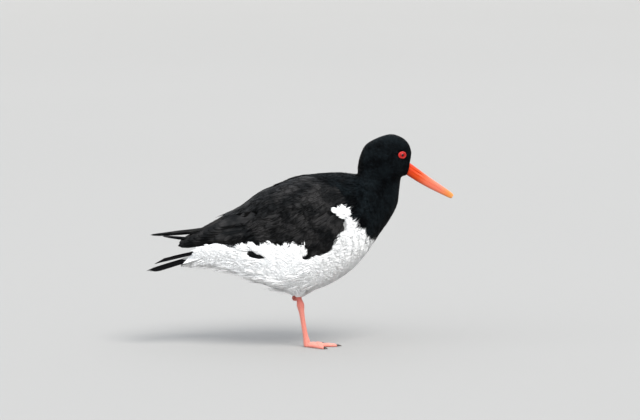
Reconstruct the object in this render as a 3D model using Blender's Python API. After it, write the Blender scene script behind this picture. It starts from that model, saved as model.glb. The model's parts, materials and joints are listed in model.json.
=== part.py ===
"""A life-size oystercatcher resting on its right leg, with the left leg drawn up against the belly.

Metres, +Z up. The bird faces +X and its left side is +Y. The origin is on the floor, in
the middle of the pad under the standing foot. The bird is one lofted body parted by thin cuts into head,
neck, torso and tail, with wings, bill, eyes, legs, toes and claws as solids of their own.
"""

import math
import random
from collections import namedtuple

import bmesh
import bpy
from mathutils import Matrix, Vector

# Driving sizes of the bird
BILL_LENGTH = 0.068
BILL_ANGLE = math.radians(-32.4)
TARSUS_LENGTH = 0.051
MIDDLE_TOE = 0.039
EYE_RADIUS = 0.0055
FEATHER_THICKNESS = 0.0008
GAP = 0.0003

# Roundness of the body's cross sections: 1 is an ellipse, and less is fuller
FULLNESS = 0.90

# Sections of the body from tail coverts to face: a point on the back, a point on the belly or throat, and
# the half width. Each row is (back x, back z, front x, front z, half width).
BODY_SECTIONS = (
    (-0.1610, 0.1125, -0.1640, 0.1060, 0.0080),
    (-0.1450, 0.1200, -0.1480, 0.1060, 0.0140),
    (-0.1280, 0.1285, -0.1290, 0.1060, 0.0195),
    (-0.1080, 0.1410, -0.1080, 0.1030, 0.0262),
    (-0.0860, 0.1610, -0.0860, 0.0940, 0.0345),
    (-0.0620, 0.1860, -0.0620, 0.0850, 0.0425),
    (-0.0380, 0.2080, -0.0380, 0.0765, 0.0488),
    (-0.0150, 0.2205, -0.0155, 0.0718, 0.0530),
    (0.0080, 0.2260, 0.0070, 0.0755, 0.0556),
    (0.0300, 0.2280, 0.0300, 0.0840, 0.0562),
    (0.0490, 0.2280, 0.0570, 0.1015, 0.0540),
    (0.0600, 0.2265, 0.0790, 0.1260, 0.0482),
    (0.0650, 0.2260, 0.0935, 0.1480, 0.0400),
    (0.0660, 0.2290, 0.1075, 0.1680, 0.0320),
    (0.0662, 0.2370, 0.1170, 0.1870, 0.0265),
    (0.0690, 0.2500, 0.1195, 0.2050, 0.0240),
    (0.0760, 0.2640, 0.1208, 0.2160, 0.0228),
    (0.0900, 0.2728, 0.1220, 0.2220, 0.0215),
    (0.1080, 0.2782, 0.1250, 0.2242, 0.0195),
    (0.1220, 0.2745, 0.1280, 0.2250, 0.0165),
    (0.1312, 0.2665, 0.1302, 0.2270, 0.0125),
    (0.1350, 0.2560, 0.1318, 0.2310, 0.0080),
    (0.1355, 0.2490, 0.1330, 0.2370, 0.0040),
)
RINGS_PER_SECTION = 2
RING_POINTS = 28

# The last section upright enough to be read by x alone, and how near its rim a side may be read
UPRIGHT_SECTIONS = 10
NEAR_RIM = 0.985

# Where the body is parted, as sections of the table above
TAIL_CUT = 3.1
NECK_CUT = 12.35
HEAD_CUT = 15.6

# Outline that the folded wings fill: (x, top z, bottom z, half width, how far down the widest place is)
WING_OUTLINE = (
    (0.0600, 0.2290, 0.1180, 0.0550, 0.50),
    (0.0350, 0.2305, 0.0980, 0.0603, 0.48),
    (0.0100, 0.2293, 0.0850, 0.0606, 0.48),
    (-0.0150, 0.2245, 0.0810, 0.0586, 0.47),
    (-0.0380, 0.2145, 0.0850, 0.0545, 0.46),
    (-0.0620, 0.2000, 0.0940, 0.0486, 0.45),
    (-0.0860, 0.1855, 0.1010, 0.0414, 0.46),
    (-0.1080, 0.1750, 0.1080, 0.0340, 0.50),
    (-0.1300, 0.1660, 0.1130, 0.0270, 0.53),
    (-0.1500, 0.1600, 0.1180, 0.0208, 0.57),
    (-0.1750, 0.1565, 0.1250, 0.0138, 0.60),
    (-0.2060, 0.1515, 0.1340, 0.0070, 0.60),
)

# The covert plate of a wing: its lower edge as (x, z), its upper edge as a share of the way up to the
# outline's top, how far its upper front corner leans back, and its depths
WING_LOW_EDGE = (
    (0.0490, 0.1740),
    (0.0400, 0.1580),
    (0.0280, 0.1440),
    (0.0120, 0.1340),
    (-0.0080, 0.1290),
    (-0.0320, 0.1290),
    (-0.0600, 0.1330),
    (-0.0800, 0.1390),
    (-0.1020, 0.1450),
)
WING_TOP_SHARE = 0.90
WING_LEAN = 0.012
WING_EDGE_SINK = 0.0030
WING_DEPTH = 0.0090
WING_COLUMNS = 13
WING_ROWS = 8

# A row of feathers in the side view, counted from its lowest: where the first and the last are rooted and where
# they end, as (x, z); their width, and their tips' as a share of it; the height of roots and tips over the
# wing's outline; and how many rings of points a feather has
Tract = namedtuple("Tract", "count roots tips width tip_share lifts rings")
UPPER_COVERTS = Tract(
    count=4,
    roots=((0.038, 0.193), (-0.008, 0.203)),
    tips=((0.018, 0.171), (-0.050, 0.178)),
    width=0.0225,
    tip_share=0.5,
    lifts=(-0.0016, 0.0011),
    rings=4,
)
MIDDLE_COVERTS = Tract(
    count=5,
    roots=((0.036, 0.174), (-0.028, 0.183)),
    tips=((0.010, 0.150), (-0.072, 0.160)),
    width=0.0220,
    tip_share=0.5,
    lifts=(-0.0016, 0.0009),
    rings=4,
)
LOWER_COVERTS = Tract(
    count=6,
    roots=((0.030, 0.152), (-0.048, 0.163)),
    tips=((-0.002, 0.131), (-0.098, 0.142)),
    width=0.0205,
    tip_share=0.5,
    lifts=(-0.0018, 0.0004),
    rings=4,
)
SCAPULARS = Tract(
    count=4,
    roots=((0.026, 0.203), (0.004, 0.216)),
    tips=((-0.030, 0.182), (-0.086, 0.1785)),
    width=0.0220,
    tip_share=0.45,
    lifts=(-0.0014, 0.0024),
    rings=4,
)
SECONDARIES = Tract(
    count=3,
    roots=((-0.034, 0.144), (-0.060, 0.153)),
    tips=((-0.082, 0.1310), (-0.130, 0.1410)),
    width=0.0180,
    tip_share=0.6,
    lifts=(-0.0028, -0.0016),
    rings=4,
)
TERTIALS = Tract(
    count=4,
    roots=((-0.050, 0.164), (-0.046, 0.183)),
    tips=((-0.1655, 0.1365), (-0.120, 0.1620)),
    width=0.0200,
    tip_share=0.35,
    lifts=(-0.0020, 0.0018),
    rings=5,
)
PRIMARIES = Tract(
    count=3,
    roots=((-0.086, 0.146), (-0.080, 0.154)),
    tips=((-0.1960, 0.1470), (-0.170, 0.1480)),
    width=0.0120,
    tip_share=0.20,
    lifts=(-0.0042, -0.0030),
    rings=5,
)

# The left wing's primaries cross the rump higher than the right one's
LEFT_PRIMARY_ROOT_SHIFT = (0.0, 0.0095)
LEFT_PRIMARY_TIP_SHIFT = (-0.0075, 0.0015)

# How much a feather's edges rise and fall about its shaft, how high the shaft stands, how far tips stray
FEATHER_ROLL = 0.0012
FEATHER_RIDGE = 0.00015
TIP_STRAY = 0.0010

# Tail feathers of one side, from the middle outwards, each one lower than the last
TAIL_FEATHERS = 6
TAIL_RINGS = 4
TAIL_TIP_SHARE = 0.42
TAIL_ROOT = Vector((-0.1180, 0.0, 0.1190))
TAIL_TIP = Vector((-0.2000, 0.0, 0.1075))
TAIL_ROOT_SPREAD = 0.0022
TAIL_TIP_SPREAD = 0.0048
TAIL_STEP_DOWN = 0.0010
TAIL_STEP_SHORTER = 0.0006
TAIL_FEATHER_WIDTH = 0.0135
TAIL_THICKNESS = 0.0006
TAIL_SAG = 0.0015
TAIL_VANE_ROLL = 0.0004
TAIL_RIDGE = 0.0003
# The tail rolls a little, and its right half lies lower and reaches further back
TAIL_ROLL = 0.13
TAIL_RIGHT_SHIFT = Vector((-0.0095, 0.0, -0.0022))

# Bill along its own axis from the face: (share of length, height above, depth below, half width)
BILL_ROOT = Vector((0.1316, 0.0, 0.2334))
BILL_SECTIONS = (
    (-0.10, 0.0072, 0.0062, 0.0058),
    (0.00, 0.0066, 0.0062, 0.0054),
    (0.14, 0.0060, 0.0056, 0.0046),
    (0.32, 0.0053, 0.0050, 0.0037),
    (0.52, 0.0047, 0.0047, 0.0030),
    (0.70, 0.0041, 0.0040, 0.0024),
    (0.86, 0.0034, 0.0031, 0.0019),
    (0.96, 0.0028, 0.0025, 0.0015),
    (1.00, 0.0020, 0.0018, 0.0010),
)
BILL_STEPS = 11
BILL_ARCH = 8
BILL_FULLNESS = 0.85
NOSTRIL_AT = 0.20
NOSTRIL_UP = 0.0021
NOSTRIL_INSET = 0.0003
NOSTRIL_LENGTH = 0.0100
NOSTRIL_HEIGHT = 0.0015
NOSTRIL_DEPTH = 0.0010

# Eyes: the eyeball's centre, and the ring of bare skin round it
EYE_CENTRE = Vector((0.1232, 0.0122, 0.2515))
EYE_LOOK = Vector((0.16, 1.0, 0.03)).normalized()
RING_INNER = EYE_RADIUS + GAP * 1.3
RING_OUTER = EYE_RADIUS + 0.0012
RING_FROM = math.radians(42.0)
RING_TO = math.radians(60.0)
SOCKET_RADIUS = RING_OUTER + GAP * 1.3

# Standing leg: (centre, fore-and-aft radius, sideways radius) from the thigh's feathers to the floor
FOOT_PAD = Vector((0.0, 0.0, 0.0))
LEG_RINGS = (
    ((-0.0105, -0.0105, 0.0657), 0.0033, 0.0031),
    ((-0.0095, -0.0098, 0.0610), 0.0040, 0.0036),
    ((-0.0085, -0.0090, 0.0565), 0.0049, 0.0043),
    ((-0.0078, -0.0083, 0.0520), 0.0044, 0.0038),
    ((-0.0068, -0.0073, 0.0450), 0.0034, 0.0029),
    ((-0.0045, -0.0047, 0.0300), 0.0031, 0.0026),
    ((-0.0022, -0.0022, 0.0160), 0.0033, 0.0029),
    ((-0.0008, -0.0008, 0.0090), 0.0041, 0.0041),
    ((0.0000, 0.0000, 0.0040), 0.0046, 0.0048),
    ((0.0004, 0.0000, 0.0012), 0.0043, 0.0046),
    ((0.0004, 0.0000, 0.0000), 0.0034, 0.0036),
)
RIGHT_THIGH_RINGS = (
    ((-0.0140, -0.0240, 0.1000), 0.0190, 0.0150),
    ((-0.0135, -0.0185, 0.0860), 0.0170, 0.0130),
    ((-0.0125, -0.0145, 0.0760), 0.0120, 0.0092),
    ((-0.0112, -0.0115, 0.0690), 0.0072, 0.0062),
    ((-0.0105, -0.0106, 0.0660), 0.0050, 0.0046),
)

# Toes of the standing foot: name, heading from straight ahead, length
STANDING_TOES = (
    ("middle", math.radians(2.0), MIDDLE_TOE),
    ("inner", math.radians(44.0), 0.0270),
    ("outer", math.radians(-44.0), 0.0310),
)
# Toe sections: (share of length, half width, height), with a flat sole on the floor
TOE_SECTIONS = (
    (0.04, 0.0038, 0.0074),
    (0.16, 0.0034, 0.0062),
    (0.34, 0.0030, 0.0053),
    (0.44, 0.0033, 0.0057),
    (0.56, 0.0028, 0.0048),
    (0.70, 0.0030, 0.0051),
    (0.84, 0.0026, 0.0044),
    (0.95, 0.0022, 0.0038),
    (1.00, 0.0013, 0.0026),
)
CLAW_LENGTH = 0.0065
CLAW_RADIUS = 0.0014

# Drawn-up leg: the hock hangs just behind the standing leg, and the shank runs forward along the belly
HOCK = Vector((-0.0160, 0.0105, 0.0630))
LEFT_THIGH_RINGS = (
    ((-0.0240, 0.0230, 0.1000), 0.0170, 0.0140),
    ((-0.0225, 0.0190, 0.0860), 0.0140, 0.0110),
    ((-0.0200, 0.0150, 0.0760), 0.0095, 0.0080),
    ((-0.0180, 0.0120, 0.0690), 0.0056, 0.0052),
    ((-0.0170, 0.0108, 0.0640), 0.0034, 0.0034),
)
SHANK_END_X = 0.0190
SHANK_END_Z = 0.0860
SHANK_RADIUS = 0.0029
# Sections of the drawn-up shank: (share of length, share of its radius)
SHANK_SECTIONS = (
    (-0.07, 0.75),
    (-0.03, 1.25),
    (0.03, 1.55),
    (0.10, 1.35),
    (0.22, 1.05),
    (0.50, 0.98),
    (0.80, 1.05),
    (0.92, 1.25),
    (1.00, 1.20),
)
DRAWN_TOES = (
    ("middle", 0.0000, 0.0340),
    ("inner", 0.0060, 0.0245),
    ("outer", -0.0060, 0.0285),
)
DRAWN_TOE_RADIUS = 0.0023
DRAWN_TOE_RISE = 0.68

COLOURS = {
    "black_plumage": ((0.012, 0.013, 0.015), 0.62),
    "white_plumage": ((0.86, 0.86, 0.84), 0.75),
    "wing_plumage": ((0.020, 0.018, 0.017), 0.60),
    "bill": ((0.86, 0.16, 0.04), 0.38),
    "eye": ((0.30, 0.01, 0.01), 0.08),
    "eye_ring": ((0.72, 0.05, 0.03), 0.45),
    "leg_skin": ((0.80, 0.33, 0.28), 0.50),
    "claw": ((0.05, 0.035, 0.03), 0.40),
}


def clear_scene():
    for old in list(bpy.data.objects):
        bpy.data.objects.remove(old)


def new_collection(name):
    made = bpy.data.collections.new(name)
    bpy.context.scene.collection.children.link(made)
    return made


def material(slot):
    """The Principled material of a slot, made once."""
    if slot in bpy.data.materials:
        return bpy.data.materials[slot]
    made = bpy.data.materials.new(slot)
    made.use_nodes = True
    shader = made.node_tree.nodes["Principled BSDF"]
    colour, roughness = COLOURS[slot]
    shader.inputs["Base Color"].default_value = (*colour, 1.0)
    shader.inputs["Roughness"].default_value = roughness
    return made


def add_object(name, mesh, collection, slot=None):
    made = bpy.data.objects.new(name, mesh)
    collection.objects.link(made)
    if slot:
        mesh.materials.clear()
        mesh.materials.append(material(slot))
    return made


def mesh_from(name, points, faces):
    """A mesh with its faces turned outwards."""
    mesh = bpy.data.meshes.new(name)
    mesh.from_pydata([tuple(p) for p in points], [], faces)
    work = bmesh.new()
    work.from_mesh(mesh)
    bmesh.ops.recalc_face_normals(work, faces=work.faces)
    work.to_mesh(mesh)
    work.free()
    return mesh


def through(knots, values, at):
    """The smooth curve through values at knots, read at one place; the ends go on straight."""
    last = len(knots) - 1
    i = max(0, min(last - 1, sum(1 for k in knots[1:] if k <= at)))

    def slope(j):
        lo, hi = max(0, j - 1), min(last, j + 1)
        return (values[hi] - values[lo]) / (knots[hi] - knots[lo])

    span = knots[i + 1] - knots[i]
    t = min(1.0, max(0.0, (at - knots[i]) / span))
    a, b = values[i], values[i + 1]
    return (
        (2 * t**3 - 3 * t**2 + 1) * a
        + (t**3 - 2 * t**2 + t) * span * slope(i)
        + (3 * t**2 - 2 * t**3) * b
        + (t**3 - t**2) * span * slope(i + 1)
    )


def body_row(place):
    """The body's section at a place of the table, which may lie between two rows."""
    knots = list(range(len(BODY_SECTIONS)))
    return [through(knots, [row[k] for row in BODY_SECTIONS], place) for k in range(5)]


def ring_of(row, points):
    """Points round one body section, starting at the back and going down the left side first."""
    back = Vector((row[0], 0.0, row[1]))
    front = Vector((row[2], 0.0, row[3]))
    ring = []
    for i in range(points):
        angle = math.tau * i / points
        c, s = math.cos(angle), math.sin(angle)
        down = 0.5 - 0.5 * math.copysign(abs(c) ** FULLNESS, c)
        side = math.copysign(abs(s) ** FULLNESS, s) * row[4]
        ring.append(back.lerp(front, down) + Vector((0.0, side, 0.0)))
    return ring


def loft(name, rings):
    """A closed mesh through rings of equal count, with a flat end at each side."""
    count = len(rings[0])
    points = [p for ring in rings for p in ring]
    faces = [list(range(count)), [len(points) - count + i for i in range(count)]]
    for r in range(len(rings) - 1):
        for i in range(count):
            j = (i + 1) % count
            faces.append([r * count + i, r * count + j, (r + 1) * count + j, (r + 1) * count + i])
    return mesh_from(name, points, faces)


def tube(name, rings, points=14):
    """A limb: oval rings square to the path through their centres."""
    made = []
    centres = [Vector(r[0]) for r in rings]
    for i, (_, along, across) in enumerate(rings):
        way = (centres[min(i + 1, len(rings) - 1)] - centres[max(i - 1, 0)]).normalized()
        side = Vector((0.0, 1.0, 0.0)) if abs(way.y) < 0.9 else Vector((1.0, 0.0, 0.0))
        fore = side.cross(way).normalized()
        side = way.cross(fore).normalized()
        made.append(
            [
                centres[i]
                + fore * along * math.cos(math.tau * k / points)
                + side * across * math.sin(math.tau * k / points)
                for k in range(points)
            ]
        )
    return loft(name, made)


def cut_plane(mesh, point, normal):
    """Removes what lies past the plane, on the normal's side, and closes the cut."""
    work = bmesh.new()
    work.from_mesh(mesh)
    everything = work.verts[:] + work.edges[:] + work.faces[:]
    cut = bmesh.ops.bisect_plane(work, geom=everything, plane_co=point, plane_no=normal, clear_outer=True)
    rim = [g for g in cut["geom_cut"] if isinstance(g, bmesh.types.BMEdge)]
    bmesh.ops.edgeloop_fill(work, edges=rim)
    bmesh.ops.recalc_face_normals(work, faces=work.faces)
    work.to_mesh(mesh)
    work.free()


def grown(mesh, amount):
    """A copy of the mesh, swollen by an amount along its normals."""
    copy = mesh.copy()
    moved = [v.co + v.normal * amount for v in copy.vertices]
    for vertex, place in zip(copy.vertices, moved):
        vertex.co = place
    return copy


def apply_boolean(target, operation, others, solver="EXACT"):
    """Joins or cuts with closed mesh objects, applies the result and removes the others."""
    tools = bpy.data.collections.new("tools")
    bpy.context.scene.collection.children.link(tools)
    for other in others:
        for home in list(other.users_collection):
            home.objects.unlink(other)
        tools.objects.link(other)
    step = target.modifiers.new(operation.lower(), "BOOLEAN")
    step.operation = operation
    step.operand_type = "COLLECTION"
    step.collection = tools
    step.solver = solver
    graph = bpy.context.evaluated_depsgraph_get()
    made = bpy.data.meshes.new_from_object(target.evaluated_get(graph))
    target.modifiers.clear()
    slots = list(target.data.materials)
    target.data = made
    made.materials.clear()
    for slot in slots[:1]:
        made.materials.append(slot)
    for other in others:
        bpy.data.objects.remove(other)
    bpy.data.collections.remove(tools)


def keep_largest(mesh):
    """Keeps the closed surface that encloses most, and drops loose scraps and sealed hollows."""
    work = bmesh.new()
    work.from_mesh(mesh)
    bmesh.ops.triangulate(work, faces=work.faces)
    left, shells = set(work.faces), []
    while left:
        grow, shell = [left.pop()], []
        while grow:
            face = grow.pop()
            shell.append(face)
            for edge in face.edges:
                for near in edge.link_faces:
                    if near in left:
                        left.remove(near)
                        grow.append(near)
        volume = sum(f.verts[0].co.dot(f.verts[1].co.cross(f.verts[2].co)) for f in shell)
        shells.append((volume, shell))
    shells.sort(key=lambda pair: pair[0])
    drop = [face for _, shell in shells[:-1] for face in shell]
    bmesh.ops.delete(work, geom=drop, context="FACES")
    work.to_mesh(mesh)
    work.free()


def clear_of(target, others, tools):
    """Cuts the target clear of other nodes by about the gap."""
    cutters = [add_object("cutter", grown(other.data, GAP * 1.15), tools) for other in others]
    apply_boolean(target, "DIFFERENCE", cutters)
    keep_largest(target.data)


def smooth(made, angle=40.0):
    made.data.shade_smooth()
    made.data.set_sharp_from_angle(angle=math.radians(angle))


def body_mesh(name, first, last):
    """The body between two places of the section table."""
    steps = max(2, round((last - first) * RINGS_PER_SECTION))
    places = [first + (last - first) * i / steps for i in range(steps + 1)]
    return loft(name, [ring_of(body_row(place), RING_POINTS) for place in places])


def trim_end(mesh, place, way):
    """Trims half a gap off a body piece at a section; way is 1 at its front end and -1 at its rear."""
    row = body_row(place)
    back, front = Vector((row[0], 0.0, row[1])), Vector((row[2], 0.0, row[3]))
    forwards = Vector((back.z - front.z, 0.0, front.x - back.x)).normalized()
    cut_plane(mesh, (back + front) / 2 - forwards * way * GAP / 2, forwards * way)


def part_body(parts):
    """Head, neck, torso and the covert wedge of the tail, parted by plane cuts a thin gap wide."""
    last = len(BODY_SECTIONS) - 1
    cuts = (0, TAIL_CUT, NECK_CUT, HEAD_CUT, last)
    names = ("tail", "torso", "neck", "head")
    slots = ("white_plumage", "white_plumage", "black_plumage", "black_plumage")
    made = {}
    for i, (name, slot) in enumerate(zip(names, slots)):
        mesh = body_mesh(name, cuts[i], cuts[i + 1])
        if i > 0:
            trim_end(mesh, cuts[i], -1.0)
        if i < len(names) - 1:
            trim_end(mesh, cuts[i + 1], 1.0)
        made[name] = add_object(name, mesh, parts, slot)
    return made


def read_rows(rows, columns, x):
    """Columns of a table read at one x; its rows run from the front of the bird to the back."""
    knots = [row[0] for row in rows[::-1]]
    return [through(knots, [row[k] for row in rows[::-1]], x) for k in columns]


def side_of_body(x, z):
    """Half width of the torso at a place in the side view."""
    top, bottom, half = read_rows(BODY_SECTIONS[UPRIGHT_SECTIONS::-1], (1, 3, 4), x)
    return oval_side(top, bottom, half, 0.5, z)


def side_of_wings(x, z):
    """Half width of the folded wings' outline at a place in the side view."""
    return oval_side(*read_rows(WING_OUTLINE, (1, 2, 3, 4), x), z)


def oval_side(top, bottom, half, widest, z):
    """Half width of an oval section at a height, where its widest place is a share of the way down."""
    down = (top - z) / (top - bottom)
    reach = (1.0 - down / widest) if down < widest else (down - widest) / (1.0 - widest)
    c = min(NEAR_RIM, max(0.0, reach)) ** (1.0 / FULLNESS)
    return half * math.sqrt(1.0 - c * c) ** FULLNESS


def on_surface(side_function, x, z, lift, side):
    """The point of a side surface at (x, z), raised along the surface's normal."""
    step = 0.0008
    y = side_function(x, z)
    slope_x = (side_function(x + step, z) - side_function(x - step, z)) / (2 * step)
    slope_z = (side_function(x, z + step) - side_function(x, z - step)) / (2 * step)
    normal = Vector((-slope_x, 1.0, -slope_z)).normalized()
    place = Vector((x, y, z)) + normal * lift
    return Vector((place.x, place.y * side, place.z))


def vane_mesh(name, grid_top, grid_bottom):
    """A closed thin sheet between two like grids of points, split into triangles alike on both faces."""
    rows, columns = len(grid_top), len(grid_top[0])
    points = [p for row in grid_top for p in row] + [p for row in grid_bottom for p in row]
    under = rows * columns
    faces = []
    for r in range(rows - 1):
        for c in range(columns - 1):
            a, b = r * columns + c, r * columns + c + 1
            d, e = a + columns, b + columns
            faces += [[a, b, d], [b, e, d]]
            faces += [[a + under, d + under, b + under], [b + under, d + under, e + under]]
    rim = [(0, c) for c in range(columns)]
    rim += [(r, columns - 1) for r in range(1, rows)]
    rim += [(rows - 1, c) for c in range(columns - 2, -1, -1)]
    rim += [(r, 0) for r in range(rows - 2, 0, -1)]
    loop = [r * columns + c for r, c in rim]
    for i, a in enumerate(loop):
        b = loop[(i + 1) % len(loop)]
        faces += [[a, a + under, b], [b, a + under, b + under]]
    return mesh_from(name, points, faces)


def feather_width(share, tip_share):
    """Width along a feather, as a share of its widest: narrow at the quill and rounded off at the tip."""
    if share < 0.55:
        return 0.62 + 0.38 * math.sin(math.pi / 2 * share / 0.55)
    t = (share - 0.55) / 0.45
    return 1.0 - (1.0 - tip_share) * t**2.4


def feather(name, spine, across, halves, rise, thickness):
    """A vane along a spine; rise turns a place, a ring, a side of the shaft and a height into a point."""
    top, bottom = [], []
    for r, place in enumerate(spine):
        rows = ([], [])
        for c in (-1.0, 0.0, 1.0):
            at = place + across * halves[r] * c
            for row, way in zip(rows, (0.5, -0.5)):
                row.append(rise(at, r, c, way * thickness))
        top.append(rows[0])
        bottom.append(rows[1])
    return vane_mesh(name, top, bottom)


def wing_feather(name, root, tip, tract, side):
    """One feather laid on the outline of the wings, its lower edge raised over the next feather down."""
    last = tract.rings - 1
    spine = [root.lerp(tip, r / last) for r in range(tract.rings)]
    across = Vector((tip.y - root.y, root.x - tip.x)).normalized()
    if across.y > 0:
        across.negate()
    halves = [tract.width / 2 * feather_width(r / last, tract.tip_share) for r in range(tract.rings)]

    def rise(at, r, c, up):
        lift = tract.lifts[0] + (tract.lifts[1] - tract.lifts[0]) * r / last
        ridge = FEATHER_RIDGE if c == 0.0 else 0.0
        return on_surface(side_of_wings, at.x, at.y, lift + FEATHER_ROLL * c + ridge + up, side)

    return feather(name, spine, across, halves, rise, FEATHER_THICKNESS)


def lay_tract(tools, label, tract, side, rng):
    """A row of feathers between its lowest and its highest one."""
    made = []
    for i in range(tract.count):
        t = i / max(1, tract.count - 1)
        root = Vector(tract.roots[0]).lerp(Vector(tract.roots[1]), t)
        tip = Vector(tract.tips[0]).lerp(Vector(tract.tips[1]), t)
        tip += Vector((rng.uniform(-TIP_STRAY, TIP_STRAY), rng.uniform(-TIP_STRAY, TIP_STRAY)))
        name = f"{label}_{i}"
        made.append(add_object(name, wing_feather(name, root, tip, tract, side), tools))
    return made


def wing_plate(name, side):
    """The covert plate of a folded wing, deep enough to reach into the torso, which cuts it to shape."""
    front, rear = WING_LOW_EDGE[0][0], WING_LOW_EDGE[-1][0]
    top, bottom = [], []
    for i in range(WING_COLUMNS):
        u = i / (WING_COLUMNS - 1)
        outer, inner = [], []
        for j in range(WING_ROWS):
            v = j / (WING_ROWS - 1)
            x = front + (rear - front) * u - WING_LEAN * v**2 * (1.0 - u)
            crest, base, widest = read_rows(WING_OUTLINE, (1, 2, 4), x)
            low = read_rows(WING_LOW_EDGE, (1,), x)[0]
            high = crest - (crest - base) * widest * (1.0 - WING_TOP_SHARE)
            z = low + (high - low) * v
            rim = min(1.0, 3.2 * min(u, 1.0 - u, v, 1.0 - v))
            sink = WING_EDGE_SINK * (1.0 - math.sin(math.pi / 2 * rim))
            outer.append(on_surface(side_of_wings, x, z, -sink, side))
            inner.append(on_surface(side_of_wings, x, z, -WING_DEPTH, side))
        top.append(outer)
        bottom.append(inner)
    return vane_mesh(name, top, bottom)


def moved(places, shift):
    return tuple((p[0] + shift[0], p[1] + shift[1]) for p in places)


def make_wing(name, side, parts, tools, torso):
    """A folded wing: the covert plate with its rows of feathers joined to it."""
    rng = random.Random(11)
    wing = add_object(name, wing_plate(name, side), parts, "wing_plumage")
    primaries = PRIMARIES
    if side > 0:
        primaries = primaries._replace(
            roots=moved(primaries.roots, LEFT_PRIMARY_ROOT_SHIFT),
            tips=moved(primaries.tips, LEFT_PRIMARY_TIP_SHIFT),
        )
    rows = {
        "primary": primaries,
        "secondary": SECONDARIES,
        "tertial": TERTIALS,
        "upper_covert": UPPER_COVERTS,
        "middle_covert": MIDDLE_COVERTS,
        "lower_covert": LOWER_COVERTS,
        "scapular": SCAPULARS,
    }
    feathers = []
    for label, tract in rows.items():
        feathers += lay_tract(tools, label, tract, side, rng)
    apply_boolean(wing, "UNION", feathers)
    clear_of(wing, [torso], tools)
    smooth(wing)


def tail_feather(name, side, i):
    """One tail feather, the i-th from the middle, on one side."""
    out = i + 0.5
    root = TAIL_ROOT + Vector((0, side * TAIL_ROOT_SPREAD * out, -TAIL_STEP_DOWN * i / 2))
    tip = TAIL_TIP + Vector((TAIL_STEP_SHORTER * i, side * TAIL_TIP_SPREAD * out, -TAIL_STEP_DOWN * i))
    tip.z += tip.y * TAIL_ROLL
    if side < 0:
        tip += TAIL_RIGHT_SHIFT
    last = TAIL_RINGS - 1
    spine = [root.lerp(tip, r / last) for r in range(TAIL_RINGS)]
    across = Vector((0, 0, 1)).cross(tip - root).normalized()
    halves = [TAIL_FEATHER_WIDTH / 2 * feather_width(r / last, TAIL_TIP_SHARE) for r in range(TAIL_RINGS)]

    def rise(at, r, c, up):
        sag = TAIL_SAG * math.sin(math.pi * r / last)
        ridge = TAIL_RIDGE if c == 0.0 else 0.0
        return at + Vector((0, 0, sag + ridge - TAIL_VANE_ROLL * c * side + up))

    return feather(name, spine, across, halves, rise, TAIL_THICKNESS)


def make_tail(tail, tools):
    """Twelve tail feathers, fanned a little, rooted in the covert wedge."""
    feathers = []
    for side in (-1.0, 1.0):
        for i in range(TAIL_FEATHERS):
            name = f"rectrix_{'right' if side < 0 else 'left'}_{i}"
            feathers.append(add_object(name, tail_feather(name, side, i), tools))
    apply_boolean(tail, "UNION", feathers)
    keep_largest(tail.data)
    smooth(tail)


def bill_place(along, up, side=0.0):
    """A point of the bill's own frame in the world."""
    way = Vector((math.cos(BILL_ANGLE), 0.0, math.sin(BILL_ANGLE)))
    high = Vector((-way.z, 0.0, way.x))
    return BILL_ROOT + way * along + high * up + Vector((0.0, side, 0.0))


def mandible(name, upper):
    """One half of the bill: a D section that is flat where the halves meet."""
    knots = [row[0] for row in BILL_SECTIONS]
    rings = []
    for s in range(BILL_STEPS + 1):
        share = knots[0] + (knots[-1] - knots[0]) * s / BILL_STEPS
        rise, fall, half = (through(knots, [row[k] for row in BILL_SECTIONS], share) for k in (1, 2, 3))
        height = rise if upper else -fall
        ring = []
        for i in range(BILL_ARCH + 1):
            angle = math.pi * i / BILL_ARCH
            up = math.copysign(GAP / 2, height) + height * math.sin(angle) ** BILL_FULLNESS
            side = math.copysign(abs(math.cos(angle)) ** BILL_FULLNESS, math.cos(angle)) * half
            ring.append(bill_place(share * BILL_LENGTH, up, side))
        rings.append(ring)
    return loft(name, rings)


def nostril_cutter(side):
    """A narrow slit along one side of the upper bill."""
    bpy.ops.mesh.primitive_uv_sphere_add(segments=12, ring_count=6, radius=1.0)
    slit = bpy.context.object
    half = through([r[0] for r in BILL_SECTIONS], [r[3] for r in BILL_SECTIONS], NOSTRIL_AT)
    size = Matrix.Diagonal((NOSTRIL_LENGTH / 2, NOSTRIL_DEPTH, NOSTRIL_HEIGHT / 2, 1.0))
    place = bill_place(NOSTRIL_AT * BILL_LENGTH, NOSTRIL_UP, side * (half - NOSTRIL_INSET))
    slit.data.transform(Matrix.Translation(place) @ Matrix.Rotation(-BILL_ANGLE, 4, "Y") @ size)
    return slit


def make_bill(parts, tools, head):
    """Both halves of the bill, cut clear of the face, with a nostril on each side."""
    upper = add_object("bill_upper", mandible("bill_upper", True), parts, "bill")
    lower = add_object("bill_lower", mandible("bill_lower", False), parts, "bill")
    for half in (upper, lower):
        clear_of(half, [head], tools)
    apply_boolean(upper, "DIFFERENCE", [nostril_cutter(side) for side in (-1.0, 1.0)])
    keep_largest(upper.data)
    for half in (upper, lower):
        smooth(half, 50.0)


def turned(name, profile, centre, axis, steps=18):
    """A closed profile of (radius, height) points turned about an axis."""
    turn = Vector((0, 0, 1)).rotation_difference(axis)
    rings = []
    for r, h in profile:
        angles = [math.tau * k / steps for k in range(steps)]
        rings.append([centre + turn @ Vector((r * math.cos(a), r * math.sin(a), h)) for a in angles])
    count = len(profile)
    points = [p for ring in rings for p in ring]
    faces = []
    for r in range(count):
        for k in range(steps):
            j = (k + 1) % steps
            q = (r + 1) % count
            faces.append([r * steps + k, r * steps + j, q * steps + j, q * steps + k])
    return mesh_from(name, points, faces)


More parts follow.
